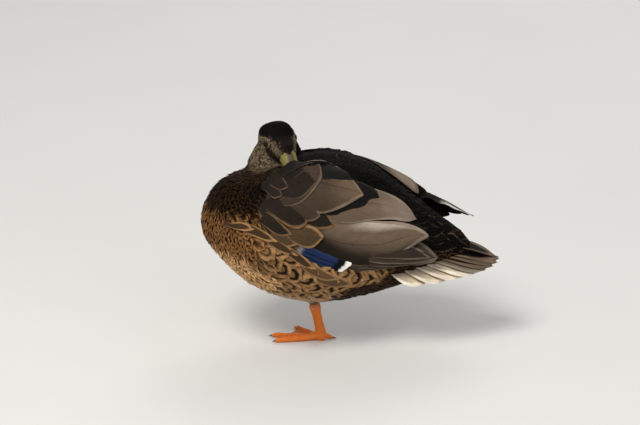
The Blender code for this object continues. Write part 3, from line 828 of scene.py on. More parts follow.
# small feathers
variety = {
    "border": (0.9, 1.6),  # how far in mm the zones run into one another, and more below the neck
    "turn": 0.13,
    "flankTurn": 0.06,
    "size": 0.12,
    "shade": 0.18,
    "edgeShade": 0.15,
    "faceSmaller": 0.35,
    "faceFlatter": 0.45,
    "specks": 0.42,  # the share of the face's feathers that are dark, and both tones
    "darkSpeck": 0.3,
    "paleSpeck": 1.15,
    "cheekRim": 5,
}


def varied(amount):
    return 1 + variety[amount] * (2 * rng.random(len(roots)) - 1)


def shareOf(*names):
    return shares[:, [zoneNames.index(name) for name in names]].sum(1)


rootsMm = roots / mm
near, more = variety["border"]
ragged = rng.normal(0, 1, (len(roots), 3)) * (near + more * (rootsMm[:, 2:] < 215))
shares = zoneShares(rootsMm + ragged, rootOwners)
rootOuts = unit(rootOuts)
lies = lieOf(rootsMm, rootOuts)
turn = rng.normal(0, 1, len(roots)) * blend(variety["turn"], variety["flankTurn"], shareOf("flank"))
sides = np.cross(lies, rootOuts)
lies = unit(lies * np.cos(turn)[:, None] + sides * np.sin(turn)[:, None])
sizes = zoneValue(shares, lambda zone: zone["size"])
lifts = zoneValue(shares, lambda zone: zone["lift"])[:, 0]
forms = zoneValue(shares, lambda zone: zone["form"])
centres = zoneValue(shares, lambda zone: linear(zone["centre"])) * brightness
edges = zoneValue(shares, lambda zone: linear(zone["edge"])) * brightness
seeds = rng.random(len(roots))
sizes *= varied("size")[:, None]
faceNear = faceShare(rootsMm)
sizes *= (1 - variety["faceSmaller"] * faceNear)[:, None]
lifts *= 1 - variety["faceFlatter"] * faceNear
centres *= varied("shade")[:, None]
edges *= varied("edgeShade")[:, None]
onFace = shareOf("brow", "eyeLine", "cheek")
speck = np.where(rng.random(len(roots)) < variety["specks"], variety["darkSpeck"], variety["paleSpeck"])
speck = blend(1, speck + 0.4 * (rng.random(len(roots)) - 0.3), onFace)[:, None]
centres, edges = centres * speck, edges * speck
onCheek = shareOf("cheek")  # the cheeks end in a loose rim over the neck
lifts += variety["cheekRim"] * onCheek * (1 - onCheek) * (rootsMm[:, 2] < 232)
tips = rootsMm + lies * sizes[:, :1]
eyeRoom = {"roots": 4.5, "ball": 4.2, "behind": 3}  # mm kept free of feathers round each eye
keep = toEyes(rootsMm) > eyeRoom["roots"]
for side, spot in zip((1, -1), eyeSpots):
    for way in (tips - spot, (tips + rootsMm) / 2 - spot, rootsMm - spot):
        out = way @ (side * headLeft)
        fromMiddle = np.linalg.norm(way - out[:, None] * side * headLeft, axis=1)
        keep &= ~((out > 0) & (fromMiddle < eyeRoom["ball"]) & (way @ headAhead > -eyeRoom["behind"]))
forms *= np.array((0.8, 0.7, 0.8)) + np.array((0.4, 0.4, 0.3)) * rng.random((len(roots), 3))

patchSize = 0.003  # how much of the baked pattern one small feather takes


def headPatch(points):
    ahead, aside, above = inHead(points)
    around = (np.degrees(np.arctan2(aside, above)) + 180) / 364
    return np.clip(np.stack([around, (ahead + 60) / 90], 1), 0, 0.99)


headMap = headPatch(rootsMm)
bodyMap = np.stack([(rootsMm[:, 0] + 185) / 375, (angleOf(roots) + 180) / 364], 1)

bodyFeathers = vaneMaterial("bodyFeathers", 12, 0.35, 0.6)
faceFeathers = vaneMaterial("faceFeathers", 4, 0.3, 0.35, bump=0.2)
flankFeathers = vaneMaterial("flankFeathers", 14, 0.35, 0.22)
largest = np.argmax(shares, 1)
groupsOf = {
    "coatCrown": (("crown", "forehead"), tinyVane),
    "coatFace": (("brow", "eyeLine", "cheek"), tinyVane),
    "coatNape": (("nape", "hindNeck", "thigh"), smallVane),
    "coatBreast": (("breastHigh", "breast", "breastLow"), smallVane),
    "coatBelly": (("belly", "vent"), smallVane),
    "coatFlanks": (("flank",), wideVane),
    "coatShoulders": (("shoulder", "tailRoot"), wideVane),
    "coatBack": (("mantle", "back", "rump"), smallVane),
}
coatPieces = []
for name, (zones, shape) in groupsOf.items():
    mine = keep & np.isin(largest, [zoneNames.index(zone) for zone in zones])
    if not mine.any():
        continue
    given = (roots, rootOuts, lies, sizes[:, 0], sizes[:, 1], lifts, seeds)
    places = layOnSkin(shape, skinTree, *(values[mine] for values in given))
    tones = centres[mine], edges[mine], np.concatenate([forms[mine], seeds[mine, None]], 1)
    onHead = name in ("coatCrown", "coatFace")
    patches = {"at": (headMap if onHead else bodyMap)[mine], "size": patchSize}
    material = faceFeathers if onHead else flankFeathers if name == "coatFlanks" else bodyFeathers
    coatPieces.append(buildCoat(name, shape, places, tones, patches, material))

# wing feathers: each layer's reach from the trunk's axis, and how far over the trunk it
# lies where it has no solid of its own
trunkField = blurred(radiusField(["trunk"]), 1)
fields = {}
layerLifts = {"secondaries": 2.2, "primaries": 1.8, "tertials": 3, "coverts": 4, "scapulars": 6, "flank": 4}
for word in ("left", "right"):
    for layer, lift in layerLifts.items():
        fields[layer, word] = blurred(radiusField([f"{layer}_{word}"], trunkField + lift), 2)

coverField = radiusField(["trunk", "scapulars_left", "coverts_left", "bill_upper", "bill_lower"])
fields["cover", "left"] = blurred(coverField, 2)

wingTones = {  # centre and edge of each vane
    "tertialPale": ((92, 77, 63), (132, 118, 104)),
    "tertialFar": ((50, 41, 33), (92, 80, 68)),
    "tertial": ((100, 84, 69), (132, 116, 102)),
    "tertialBrown": ((58, 47, 38), (104, 91, 78)),
    "scapularLight": ((92, 76, 60), (116, 98, 80)),
    "scapular": ((60, 48, 38), (96, 80, 64)),
    "scapularDark": ((30, 23, 18), (78, 63, 50)),
    "cover": ((24, 19, 15), (58, 48, 38)),
    "blackish": ((17, 14, 12), (34, 29, 24)),
    "shoulder": ((32, 25, 18), (110, 84, 58)),
    "shoulderWarm": ((70, 54, 36), (138, 107, 74)),
    "primary": ((50, 41, 34), (106, 93, 80)),
    "primaryBlack": ((14, 12, 11), (26, 23, 21)),
    "primaryEdge": ((14, 12, 11), (26, 23, 21)),
    "blue": ((28, 43, 80), (28, 43, 80)),
    "flankTop": ((58, 42, 27), (158, 120, 78)),
    "flankPlain": ((88, 66, 44), (140, 108, 72)),
}



def paleEnd(u, v):
    return ease(u, -0.72, -0.86) * ease(v, 0.66, 0.76) * ease(v, 0.96, 0.9)


def shadedHalf(u, v):
    return 0.3 * ease(u - 0.6 * v, -0.2, 0.6)


# colours laid over a vane's centre, each with its share at u across the vane and v along it
centreMarks = {
    "blue": (
        # the next lighter blue toward the upper edge is a painted sheen
        ((46, 50, 84), lambda u, v: ease(u, -0.2, -1) * 0.4),
        ((12, 13, 20), lambda u, v: ease(u, 0.35, 1) * 0.85),
        ((205, 198, 188), lambda u, v: ease(v, 0.25, 0.235)),
        ((84, 64, 42), lambda u, v: ease(v, 0.21, 0.19)),
        ((9, 8, 9), lambda u, v: ease(v, 0.78, 0.8)),
        ((232, 229, 224), lambda u, v: ease(v, 0.89, 0.905)),
    ),
    "tertial": (
        # the next pale strip along the upper edge is a painted highlight
        ((164, 151, 140), lambda u, v: ease(u, -0.5, -0.62) * ease(v, 0.3, 0.55)),
        ((22, 16, 11), lambda u, v: ease(u + 1.4 * (0.5 - v), -0.25, 0.85) * 0.96),
    ),
    "tertialPale": (((122, 107, 94), lambda u, v: ease(v, 0.45, 0.9)),),
    "tertialFar": (((124, 110, 96), lambda u, v: ease(v + 0.1 * u, 0.55, 0.8)),),
    "scapular": (((0, 0, 0), shadedHalf),),
    "scapularLight": (
        ((0, 0, 0), shadedHalf),
        ((52, 42, 33), lambda u, v: ease(-u - v, 0.1, -0.25) * ease(v, 0.75, 0.4) * 0.8),
    ),
    "primaryEdge": (((192, 184, 174), paleEnd),),
}
edgeMarks = {
    "blue": centreMarks["blue"],
    "tertial": (((60, 47, 36), lambda u, v: ease(u, 0.2, 0.6) * ease(v, 0.75, 0.5) * 0.8),),
    "primaryEdge": (((206, 198, 188), paleEnd),),
}

# rows of long vanes, the lowest first: tone, height over the layer, fringe,
# then the upper and the lower edge, as x and angle of one knot after another
flankRows = [
    ("flankTop", 0.2, 0.3,
     (-150, 69, -141, 72, -132, 69.5, -122, 68.5, -112, 73), (-150, 75, -138, 77, -124, 76, -112, 73)),
    ("flankTop", 0.3, 0.3,
     (-130, 70, -116, 69, -104, 72.5, -94, 76, -84, 82), (-130, 76, -114, 79, -98, 82, -84, 82)),
    ("flankTop", 0.4, 0.26,
     (-106, 74, -94, 76, -82, 81.5, -70, 87, -60, 94), (-106, 80, -90, 87, -74, 93, -60, 94)),
    ("flankTop", 0.5, 0.24,
     (-84, 81, -72, 86, -60, 92, -48, 99, -38, 107), (-84, 88, -68, 97, -52, 105, -38, 107)),
    ("flankPlain", 0.6, 0.2,
     (-66, 90, -54, 95.5, -39, 104.5, -24, 111.5, -10, 119), (-66, 98, -50, 109, -30, 118, -10, 119)),
    ("flankPlain", 0.5, 0.2,
     (-46, 101, -34, 107, -20, 113.5, -6, 120, 5, 127), (-46, 112, -32, 122, -12, 128, 5, 127)),
]
leftWing = {
    "primaries": [
        ("primary", -0.8, 0.1,
         (-20, 104, 62, 103, 92, 98, 100, 101), (-20, 113, 40, 114, 80, 108, 100, 101)),
        ("primary", -1.2, 0.1,
         (-20, 106, 50, 106, 80, 103, 88, 105.5), (-20, 116, 30, 116, 70, 111, 88, 105.5)),
        ("primary", -1.6, 0.1,
         (-20, 109, 30, 109, 60, 108, 72, 109), (-20, 118, 20, 117.5, 56, 113.5, 72, 109)),
        ("primary", -0.3, 0.1, (-10, 98, 60, 92, 90, 90, 104, 98), (-10, 110, 50, 110, 88, 104, 104, 98)),
        ("tertialBrown", 0.2, 0.08,
         (-10, 84, 50, 76, 78, 73, 93, 79, 107, 95), (-10, 104, 40, 106, 76, 103, 95, 98, 107, 95)),
        ("primary", 0.5, 0.1, (0, 90, 50, 84, 74, 81, 86, 84, 98, 92), (0, 100, 50, 99, 80, 96, 98, 92)),
    ],
    "secondaries": [
        ("blue", -1.4, 0,
         (-84, 86.2, -50, 100.2, -30, 107.2, -12, 113.2), (-84, 96.2, -50, 108.2, -34, 114.2, -15, 119.2)),
        ("blue", -1.0, 0,
         (-82, 84.2, -48, 97.2, -28, 104.2, -8, 111.2), (-82, 92.2, -48, 105.2, -30, 111.2, -11.5, 117.2)),
        ("blue", -0.6, 0,
         (-80, 82.2, -46, 94.2, -26, 101.7, -4, 109.2), (-80, 89.2, -46, 102.2, -28, 108.2, -8, 114.7)),
        ("blue", -0.2, 0,
         (-78, 78.2, -44, 91.2, -24, 99.2, 0, 107.2), (-78, 86.2, -44, 99.2, -26, 105.2, -4, 112.2)),
        ("blue", 0.2, 0,
         (-76, 74.2, -42, 88.2, -22, 96.2, 4, 104.7), (-76, 82.2, -42, 95.2, -22, 102.2, 0, 109.7)),
    ],
    "tertials": [
        ("tertialBrown", -1.4, 0.05,
         (-40, 80, 20, 96, 50, 94, 78, 88), (-40, 98, -4, 109, 30, 113, 56, 107, 78, 88)),
        ("tertial", -0.2, 0.05,
         (-58, 68, -20, 65, 4, 64, 40, 61, 60, 57.5, 80, 56.5, 97, 62.5),
         (-58, 80, -35, 89, -17, 100, 2, 108, 21, 110.5, 38, 108, 55, 99, 76, 79, 97, 62.5)),
        ("tertialPale", 0.5, 0.05,
         (-40, 42, 0, 35, 34, 31, 53, 29, 70, 31.5, 81.5, 46),
         (-44, 62, -10, 67, 12, 65, 34, 60.5, 52, 57.5, 70, 55, 81.5, 46)),
    ],
    "coverts": [
        ("shoulder", -0.6, 0.17,
         (-112, 46, -104, 47, -97, 54, -92, 67), (-112, 53, -106, 60, -100, 66, -92, 67)),
        ("shoulder", -0.2, 0.17,
         (-108, 57, -99, 60, -89, 68, -79, 79), (-108, 64, -100, 73, -90, 80, -79, 79)),
        ("shoulderWarm", 0.1, 0.17,
         (-104, 66, -88, 68, -74, 76, -60, 84), (-104, 74, -90, 81, -76, 86.5, -60, 84)),
        ("shoulderWarm", 0.5, 0.17,
         (-80, 66, -61, 68, -42, 70, -30, 78), (-80, 76, -62, 84.5, -45, 87.5, -30, 78)),
        ("shoulder", 0.6, 0.17,
         (-112, 56, -96, 58, -82, 66, -67, 76), (-112, 64, -98, 71, -83, 77, -67, 76)),
    ],
    "scapulars": [
        ("shoulder", -2.4, 0.14,
         (-84, 48, -60, 50, -35, 54, -23, 62, -16, 70.5), (-84, 60, -63, 64, -50, 69, -35, 72.5, -16, 70.5)),
        ("blackish", -2.4, 0.04,
         (-50, 30, -16, 28, 16, 30, 33, 33, 43, 44), (-50, 60, -11, 60, 20, 50, 43, 44)),
        ("scapularLight", -0.6, 0.07,
         (-72, 16, -50, 13, -34, 14, -16, 20.5, 2, 29.5, 18, 43),
         (-72, 50, -48, 58, -29, 59.5, -6, 53.5, 17, 43)),
        ("scapular", -0.2, 0.06,
         (-90, 40, -74, 40, -56, 43, -44, 50, -34, 62), (-90, 50, -74, 58, -58, 64, -46, 66, -34, 62)),
        ("shoulder", 0.1, 0.14,
         (-104, 44, -86, 42, -68, 46, -55, 55, -49, 66), (-104, 52, -90, 61, -73, 69.5, -60, 71.5, -49, 66)),
        ("scapular", 0.7, 0.07,
         (-98, 38, -80, 28, -62, 19.5, -46, 16.5, -36, 21, -32, 34),
         (-98, 48, -76, 54, -58, 52, -44, 44, -32, 34)),
        ("scapularDark", 1.3, 0.05,
         (-90, 38, -74, 31, -60, 26, -48, 27, -40, 38), (-90, 44, -72, 48, -56, 48, -40, 38)),
        ("scapularDark", 1.6, 0.1,
         (-105, 30, -97, 28, -89, 33, -79, 46), (-105, 37, -97, 43, -89, 48, -79, 46)),
        ("scapularDark", 2.0, 0.1,
         (-100, 24, -92, 22, -82, 28, -72, 40), (-100, 32, -92, 38, -82, 42, -72, 40)),
    ],
    "cover": [
        ("cover", 0.8, 0.05,
         (-108, 30, -98, 27, -86, 24, -74, 22, -62, 21, -50, 26),
         (-108, 38, -94, 38, -78, 36, -64, 32, -50, 24)),
        ("cover", 1.4, 0.04,
         (-104, 26, -92, 23.5, -84, 20.5, -73, 17, -63, 14, -53, 14, -40, 19),
         (-104, 34, -90, 34, -76, 29, -60, 23, -40, 18)),
    ],
}
rightWing = {
    "primaries": [
        ("primaryBlack", -1.4, 0.08, (0, 80, 60, 80, 84, 80, 96, 84), (0, 92, 50, 94, 80, 92, 96, 84)),
        ("primaryBlack", -1.0, 0.08, (5, 74, 70, 70, 96, 68, 110, 72), (5, 88, 60, 88, 96, 82, 110, 72)),
        ("primaryBlack", -0.6, 0.08, (10, 66, 80, 58, 110, 54, 124, 58), (10, 82, 70, 80, 110, 70, 124, 58)),
        ("primaryBlack", -0.2, 0.08, (14, 60, 90, 46, 122, 43, 138, 48), (14, 76, 80, 68, 120, 58, 138, 48)),
        ("primaryBlack", 0.1, 0.08, (18, 52, 100, 37, 132, 35, 147, 41), (18, 68, 90, 58, 130, 50, 147, 41)),
        ("primaryEdge", 0.4, 0.08,
         (22, 44, 70, 36, 110, 28, 138, 29, 153, 36), (22, 60, 80, 50, 130, 42, 153, 36)),
    ],
    "secondaries": leftWing["secondaries"],
    "tertials": [
        ("tertialBrown", -1.0, 0.05, (-52, 74, 0, 84, 40, 84, 60, 80), (-52, 90, -4, 104, 30, 106, 60, 80)),
        ("tertial", -0.4, 0.05,
         (-58, 58, 0, 52, 50, 48, 80, 52), (-58, 74, -10, 90, 20, 98, 56, 88, 80, 52)),
        ("tertial", 0.0, 0.05,
         (-52, 42, 0, 36, 50, 28, 80, 26, 98, 34), (-52, 58, 0, 64, 50, 62, 80, 52, 98, 34)),
        ("tertialFar", 0.4, 0.08,
         (-40, 26, 10, 18, 46, 11, 70, 10, 86, 19), (-40, 40, 10, 38, 50, 32, 74, 26, 86, 19)),
    ],
    "coverts": leftWing["coverts"],
    "scapulars": [
        ("shoulder", -1.6, 0.14, (-84, 46, -60, 48, -35, 52, -16, 64), (-84, 58, -60, 66, -36, 70, -16, 64)),
        ("blackish", -1.6, 0.04, (-50, 26, -10, 23, 18, 26, 32, 38), (-50, 52, -10, 52, 16, 46, 32, 38)),
        ("scapularLight", -1.0, 0.07,
         (-70, 30, -40, 26, -10, 30, 12, 44), (-70, 50, -40, 58, -10, 56, 12, 44)),
        ("scapular", -0.2, 0.1,
         (-96, 32, -74, 24, -50, 21, -30, 25, -20, 36), (-96, 46, -74, 52, -46, 50, -20, 36)),
        ("shoulder", 0.2, 0.1, (-108, 42, -86, 42, -68, 46, -50, 62), (-108, 52, -90, 61, -70, 68, -50, 62)),
        ("shoulder", 0.6, 0.1,
         (-116, 30, -100, 26, -86, 30, -72, 42), (-116, 42, -100, 46, -86, 48, -72, 42)),
    ],
}


def throughKnots(knots, count):
    # a smooth line through knots
    knots = np.array(knots, float).reshape(-1, 2)
    padded = np.vstack([2 * knots[0] - knots[1], knots, 2 * knots[-1] - knots[-2]])
    t = np.linspace(0, len(knots) - 1.0001, count)
    i, f = t.astype(int), (t - t.astype(int))[:, None]
    a, b, c, d = (padded[i + k] for k in range(4))
    return 0.5 * (2 * b + (c - a) * f + (2 * a - 5 * b + 4 * c - d) * f**2 + (3 * b - a - 3 * c + d) * f**3)


def byLength(line, share):
    steps = np.hypot(np.diff(line[:, 0]), np.diff(line[:, 1]) * 1.5)
    along = np.concatenate([[0], np.cumsum(steps)]) / steps.sum()
    return np.stack([np.interp(share, along, line[:, k]) for k in (0, 1)], 1)


def edgesOf(upper, lower, share, passes=12):
    # both edges of a vane, rounded together at its tip
    loop = np.vstack([throughKnots(upper, 80), throughKnots(lower, 80)[-2::-1]])
    loop = byLength(loop, np.linspace(0, 1, 160))
    for _ in range(passes):
        loop[1:-1] = (loop[:-2] + 2 * loop[1:-1] + loop[2:]) / 4
    root = (loop[0] + loop[-1]) / 2
    tipAt = 50 + int(np.argmax(np.hypot(loop[50:110, 0] - root[0], (loop[50:110, 1] - root[1]) * 1.5)))
    return byLength(loop[: tipAt + 1], share), byLength(loop[:tipAt - 1:-1], share)


def wingVane(word, layer, row, seed):
    # one long vane between its edges on its layer: places, tones and form
    tone, height, fringe, upper, lower = row
    u, v, t = (longVane[key] for key in "uvt")
    share = ((u + 1) / 2)[:, None]
    above, below = edgesOf(upper, lower, v * 0.995)
    places = blend(above, below, share)
    x, angle = places.T
    signed = angle * (1 if word == "left" else -1)
    reach = readField(fields[layer, word], x, signed)
    if layer == "primaries" and word == "right":
        # the wing's tip stands clear of the tail
        reach = np.maximum(reach, np.interp(x, (100, 150), (50, 36)))
    rise = height + 0.5 * u + 0.5 * (1 - u**2) - 3 * (1 - ease(v, 0, 0.3))
    rise = np.where(t > 0.5, rise, rise - np.interp(v, (0, 1), (0.8, 0.35)))
    places = onBody(x, signed, reach + rise) * mm
    tones = []
    for colour, marks in zip(wingTones[tone], (centreMarks, edgeMarks)):
        painting = np.tile(linear(colour), (len(u), 1))
        for mark, amount in marks.get(tone, ()):
            painting = blend(painting, linear(mark), amount(u, v)[:, None])
        tones.append(painting * brightness)
    return places, *tones, np.tile((fringe, 0, 0, seed), (len(u), 1))


longFeathers = vaneMaterial("wingFeathers", 110, 1.0, 0.06, gloss=0.08)


def longCoat(name, vanes, mirrored=False):
    # a piece of long vanes, each with its own square of the baked pattern
    places, *tones = (np.array(part) for part in zip(*vanes))
    shape = dict(longVane)
    if mirrored:
        shape["quads"] = longVane["quads"][:, ::-1]
    across = math.ceil(math.sqrt(len(vanes)))
    cells = np.array([((k % across) / across, (k // across) / across) for k in range(len(vanes))])
    patches = {"at": cells + 0.01 / across, "size": 0.97 / across}
    return buildCoat(name, shape, places, tones, patches, longFeathers)


wingPieces = {}
for word, wing in (("left", leftWing), ("right", rightWing)):
    layers = {**wing, "flank": flankRows}
    made = [wingVane(word, layer, row, rng.random()) for layer, rows in layers.items() for row in rows]
    wingPieces[word] = longCoat(f"wing_{word}", made, word == "right")

# tail
tailForm = {
    "feathers": 16,
    "root": (78, 121.5),  # x and height of the middle feathers' ends, in mm
    "tip": (181, 105.5),
    "spread": 47,
    "arch": 7,
    "width": 35,
    "wider": 10,  # how much wider the outer feathers are
    "thick": 0.6,
    "lower": 0.14,  # how far every other feather is set down
    "outline": (0.5, 0.62, 0.06),
    "fringe": 0.16,
    "centre": ((10, 8, 7), (214, 198, 174)),  # from the middle feathers to the outer ones
    "edge": ((104, 88, 72), (232, 222, 204)),
    # the next colour is painted shade on the half of each pale feather toward the middle of the fan
    "innerHalfShade": (120, 98, 76),
}


def tailVane(spread, lower):
    # one feather of the tail, at -1 to 1 across the fan
    u, v, t = (longVane[key] for key in "uvt")
    away = abs(spread)
    x, z = tailForm["root"]
    root = np.array((x - 30 * spread**2, 9 * spread + 14 * spread**3, z - 14 * spread**2))
    x, z = tailForm["tip"]
    tip = np.array((x - 91 * away**2.2, tailForm["spread"] * spread, z - 16.5 * away))
    line = root + (tip - root) * v[:, None]
    line[:, 2] += tailForm["arch"] * np.sin(np.pi * v) * (1 - 0.6 * away)
    forward = unit(tip - root)
    side = unit(np.array((0, 1, -0.33 * np.sign(spread))))
    side = unit(side - forward * (side @ forward))
    out = np.cross(side, forward)
    out = -out if out[2] < 0 else out
    side = np.cross(forward, out)
    across = u * outlineAt(v, *tailForm["outline"]) * (tailForm["width"] + tailForm["wider"] * away) / 2
    along = -0.06 * np.linalg.norm(tip - root) * u**2 * v**3
    rise = -1.5 * away - lower + 0.5 * (1 - u**2) - u * np.sign(spread) * 0.35
    rise = np.where(t > 0.5, rise, rise - tailForm["thick"] * (1.1 - 0.5 * v))
    places = (line + side * across[:, None] + forward * along[:, None] + out * rise[:, None]) * mm
    pale = ease(away, 0.42, 0.62)
    ends = (tailForm["centre"], tailForm["edge"])
    centre, edge = (blend(linear(dark), linear(light), pale) for dark, light in ends)
    centreTone, edgeTone = np.tile(centre, (len(u), 1)), np.tile(edge, (len(u), 1))
    # painted shade between the pale feathers, on each one's half toward the middle of the fan
    inner = ease(-u * np.sign(spread if away > 0.05 else 1), 0.2, 0.9)[:, None] * pale
    centreTone = blend(centreTone, linear(tailForm["innerHalfShade"]), inner * 0.5)
    form = np.tile((tailForm["fringe"], 0, 0, (spread + 1) / 2), (len(u), 1))
    return places, centreTone * brightness, edgeTone * brightness, form


spreads = np.linspace(-1, 1, tailForm["feathers"])
made = [tailVane(spread, k % 2 * tailForm["lower"]) for k, spread in enumerate(spreads)]
tailPiece = longCoat("tail_feathers", made)

# skin, legs
toes = {
    "heel": (-34, -3.5, 7),
    "turn": 8,
    "rows": ((-18, 56), (0, 60), (40, 46), (164, 12)),  # each toe's angle and length
    "webFrom": (4.2, 6.0),  # how far from a toe the web begins
    "shankFrom": 12,
    "toeTone": (218, 116, 46),
    "webTone": (186, 98, 44),
    "knobTone": (196, 118, 90),
    "knobShare": 0.6,
}


def level(degrees):
    a = math.radians(degrees)
    return np.array((-math.cos(a), math.sin(a), 0))


bm = bmesh.new()
bm.from_mesh(bodySkin.data)
bodyCount = len(bm.verts)
for leg in legSkins:
    bm.from_mesh(leg.data)
    bpy.data.objects.remove(leg)
bm.to_mesh(bodySkin.data)
bm.free()
bodySkin.name = "skin"
mesh = bodySkin.data
mesh.shade_smooth()
points, outs = pointsOf(mesh) / mm, normalsOf(mesh)
body = np.arange(len(points)) < bodyCount
skinShares = zoneShares(points[body], ["trunk"] * bodyCount)
dull = skinForm["dull"]
bodyTone = zoneValue(skinShares, lambda zone: blend(linear(zone["edge"]), linear(zone["centre"]), dull))
heel = np.array(toes["heel"])
nearToe = np.full(len(points), 1e3)
for turn, length in toes["rows"]:
    way = level(toes["turn"] + turn)
    start = heel * np.array((1, 1, 0.5))
    share = np.clip((points - start) @ way / length, 0, 1)
    nearToe = np.minimum(nearToe, np.linalg.norm(points - (start + share[:, None] * length * way), axis=1))
fromHeel = np.linalg.norm(points[:, :2] - heel[:2], axis=1)
web = ease(nearToe, *toes["webFrom"]) * (points[:, 2] < 6) * (points[:, 1] < 34) * ease(fromHeel, 10, 15)
tone = blend(linear(toes["toeTone"]), linear(toes["webTone"]), web[:, None])
atKnob = (ease(points[:, 2], 38, 44) * (points[:, 1] < 14))[:, None] * toes["knobShare"]
tone = blend(tone, linear(toes["knobTone"]), atKnob)
tone[body] = bodyTone * brightness
onShank = points[:, 2] > toes["shankFrom"]
scuteMask = np.where(onShank, ease(-outs[:, 0], 0.15, 0.6), ease(outs[:, 2], 0.1, 0.5) * (1 - web))
scuteAlong = np.where(onShank, points[:, 2], fromHeel)
painted(mesh, "scutes", "FLOAT_VECTOR", np.stack([scuteAlong, scuteMask, 0 * scuteMask], 1))
painted(mesh, "skinTone", "FLOAT_COLOR", np.concatenate([tone, np.where(body, 0.0, 1.0)[:, None]], 1))

material, tree, shader = newMaterial("skin", 0.55)
place = objectPlace(tree)
grain = noiseOf(tree, place, 260, 4)
cells = tree.nodes.new("ShaderNodeTexVoronoi")
cells.feature = "DISTANCE_TO_EDGE"
plug(tree, 620, cells.inputs["Scale"])
plug(tree, place, cells.inputs["Vector"])
cracks = 1 - stepUp(Value(tree, cells.outputs["Distance"]), 0.02, 0.14)
along, mask = parted(tree, "ShaderNodeSeparateXYZ", attributeOf(tree, "scutes", "Vector"))[:2]
bands = calc(tree, "FRACT", along * 0.42 + grain * 1.1)
bands = stepUp(calc(tree, "ABSOLUTE", bands * 2 - 1), 0.74, 0.98)
onLeg = attributeOf(tree, "skinTone", "Alpha")
cracks = mixed(tree, mask, cracks, bands) * onLeg
colour = mixed(tree, cracks * 0.3, attributeOf(tree, "skinTone"), (0.2, 0.07, 0.02))
shadeBy(tree, shader, Base_Color=shaded(tree, colour, grain * 0.5 + 0.75), Roughness=onLeg * -0.14 + 0.6)
shadeBy(tree, shader, Specular_IOR_Level=0.12)
bumpInto(tree, shader, cracks * -0.8 + grain * 0.3, 0.5, 0.0005)
coatOf(mesh, material)
print("skin", len(mesh.polygons), "faces")

# bill, eyes, claws

def refined(name, names, level=2):
    obj = joinedCopies(name, names)
    baked(obj, "SUBSURF", levels=level, render_levels=level)
    obj.data.shade_smooth()
    return obj


bill = refined("bill", ["bill_upper", "bill_lower"])
points = pointsOf(bill.data) / mm - billBase
local = np.stack([points @ billAhead, points @ billLeft, points @ billUp], 1)
painted(bill.data, "billPlace", "FLOAT_VECTOR", local)
billTones = {"side": (112, 101, 40), "ridge": (62, 53, 28), "nail": (50, 44, 34)}
material, tree, shader = newMaterial("billHorn", 0.4)
aheadOn, sideOn, upOn = parted(tree, "ShaderNodeSeparateXYZ", attributeOf(tree, "billPlace", "Vector"))
mottle = noiseOf(tree, objectPlace(tree), 140, 4)
ridge = (1 - stepUp(calc(tree, "ABSOLUTE", sideOn), 1.5, 7.5)) * stepUp(upOn, 2.0, 5.0)
ridge = stepUp(mottle * 0.5 + ridge * 0.8, 0.35, 1.05)
nail = stepUp(aheadOn, 46, 49)
holes = (aheadOn * 0.34 - 5.7) ** 2 + (upOn * 0.9 - 6.6) ** 2  # the nostrils, one on each side
hole = 1 - stepUp(holes, 0.5, 1.0)
colour = mixed(tree, ridge, linear(billTones["side"]), linear(billTones["ridge"]))
colour = mixed(tree, nail * 0.7, colour, linear(billTones["nail"]))
# the nostrils are painted near-black, as shade in their openings
colour = mixed(tree, hole, colour, (0.01, 0.009, 0.006))
shadeBy(tree, shader, Base_Color=colour, Roughness=mottle * 0.3 + 0.4)
bumpInto(tree, shader, mottle * 0.4 - hole, 0.5, 0.0006)
coatOf(bill.data, material)

eyeForm = {
    "iris": (22, 14, 9),
    "above": 3.3,  # how far the slit opens over and under its middle line, in mm
    "below": 3.4,
    "corner": 4.4,
    "slant": 20,
    "rim": 0.5,
    "lid": 0.5,
    "upper": ((20, 17, 13), (30, 26, 21)),  # a lid's own colour and its rim's
    "lower": ((44, 37, 29), (150, 138, 118)),
}
slant = math.radians(eyeForm["slant"])
slitAhead = headAhead * math.cos(slant) - headUp * math.sin(slant)
slitUp = headUp * math.cos(slant) + headAhead * math.sin(slant)


def pastSlit(away):
    # how far a place over the ball is above (plus) or below (minus) the open slit
    up, along = away @ slitUp, away @ slitAhead
    room = np.clip(1 - (along / eyeForm["corner"]) ** 2, 0, 1)
    over, under = np.maximum(up - eyeForm["above"] * room, 0), np.minimum(up + eyeForm["below"] * room, 0)
    return np.where(up > 0, over, under)


def placedBy(bm, centre, *axes):
    # turns a form built round the origin to the axes and moves it to the centre
    turn = Matrix([list(axis) for axis in axes]).transposed().to_4x4()
    bmesh.ops.transform(bm, matrix=Matrix.Translation(Vector(centre * mm)) @ turn, verts=bm.verts)


eyeMaterial, tree, shader = newMaterial("eyeBall", 0.08)
pupil = stepUp(attributeOf(tree, "gaze", "Fac"), 0.86, 0.9)
colour = mixed(tree, pupil, linear(eyeForm["iris"]), (0.003, 0.003, 0.003))
streaks = noiseOf(tree, objectPlace(tree), 900, 3)
colour = mixed(tree, streaks * 0.3, colour, (0.01, 0.006, 0.004))
shadeBy(tree, shader, Base_Color=colour, Specular_IOR_Level=0.0, Coat_Weight=0.15, Coat_Roughness=0.03)

lidMaterial, tree, shader = newMaterial("lidSkin", 0.55)
fold = noiseOf(tree, objectPlace(tree), 700, 3)
colour = mixed(tree, fold * 0.5, attributeOf(tree, "lidTone"), (0.02, 0.016, 0.012))
shadeBy(tree, shader, Base_Color=colour, Specular_IOR_Level=0.1)
bumpInto(tree, shader, fold, 0.5, 0.0003)

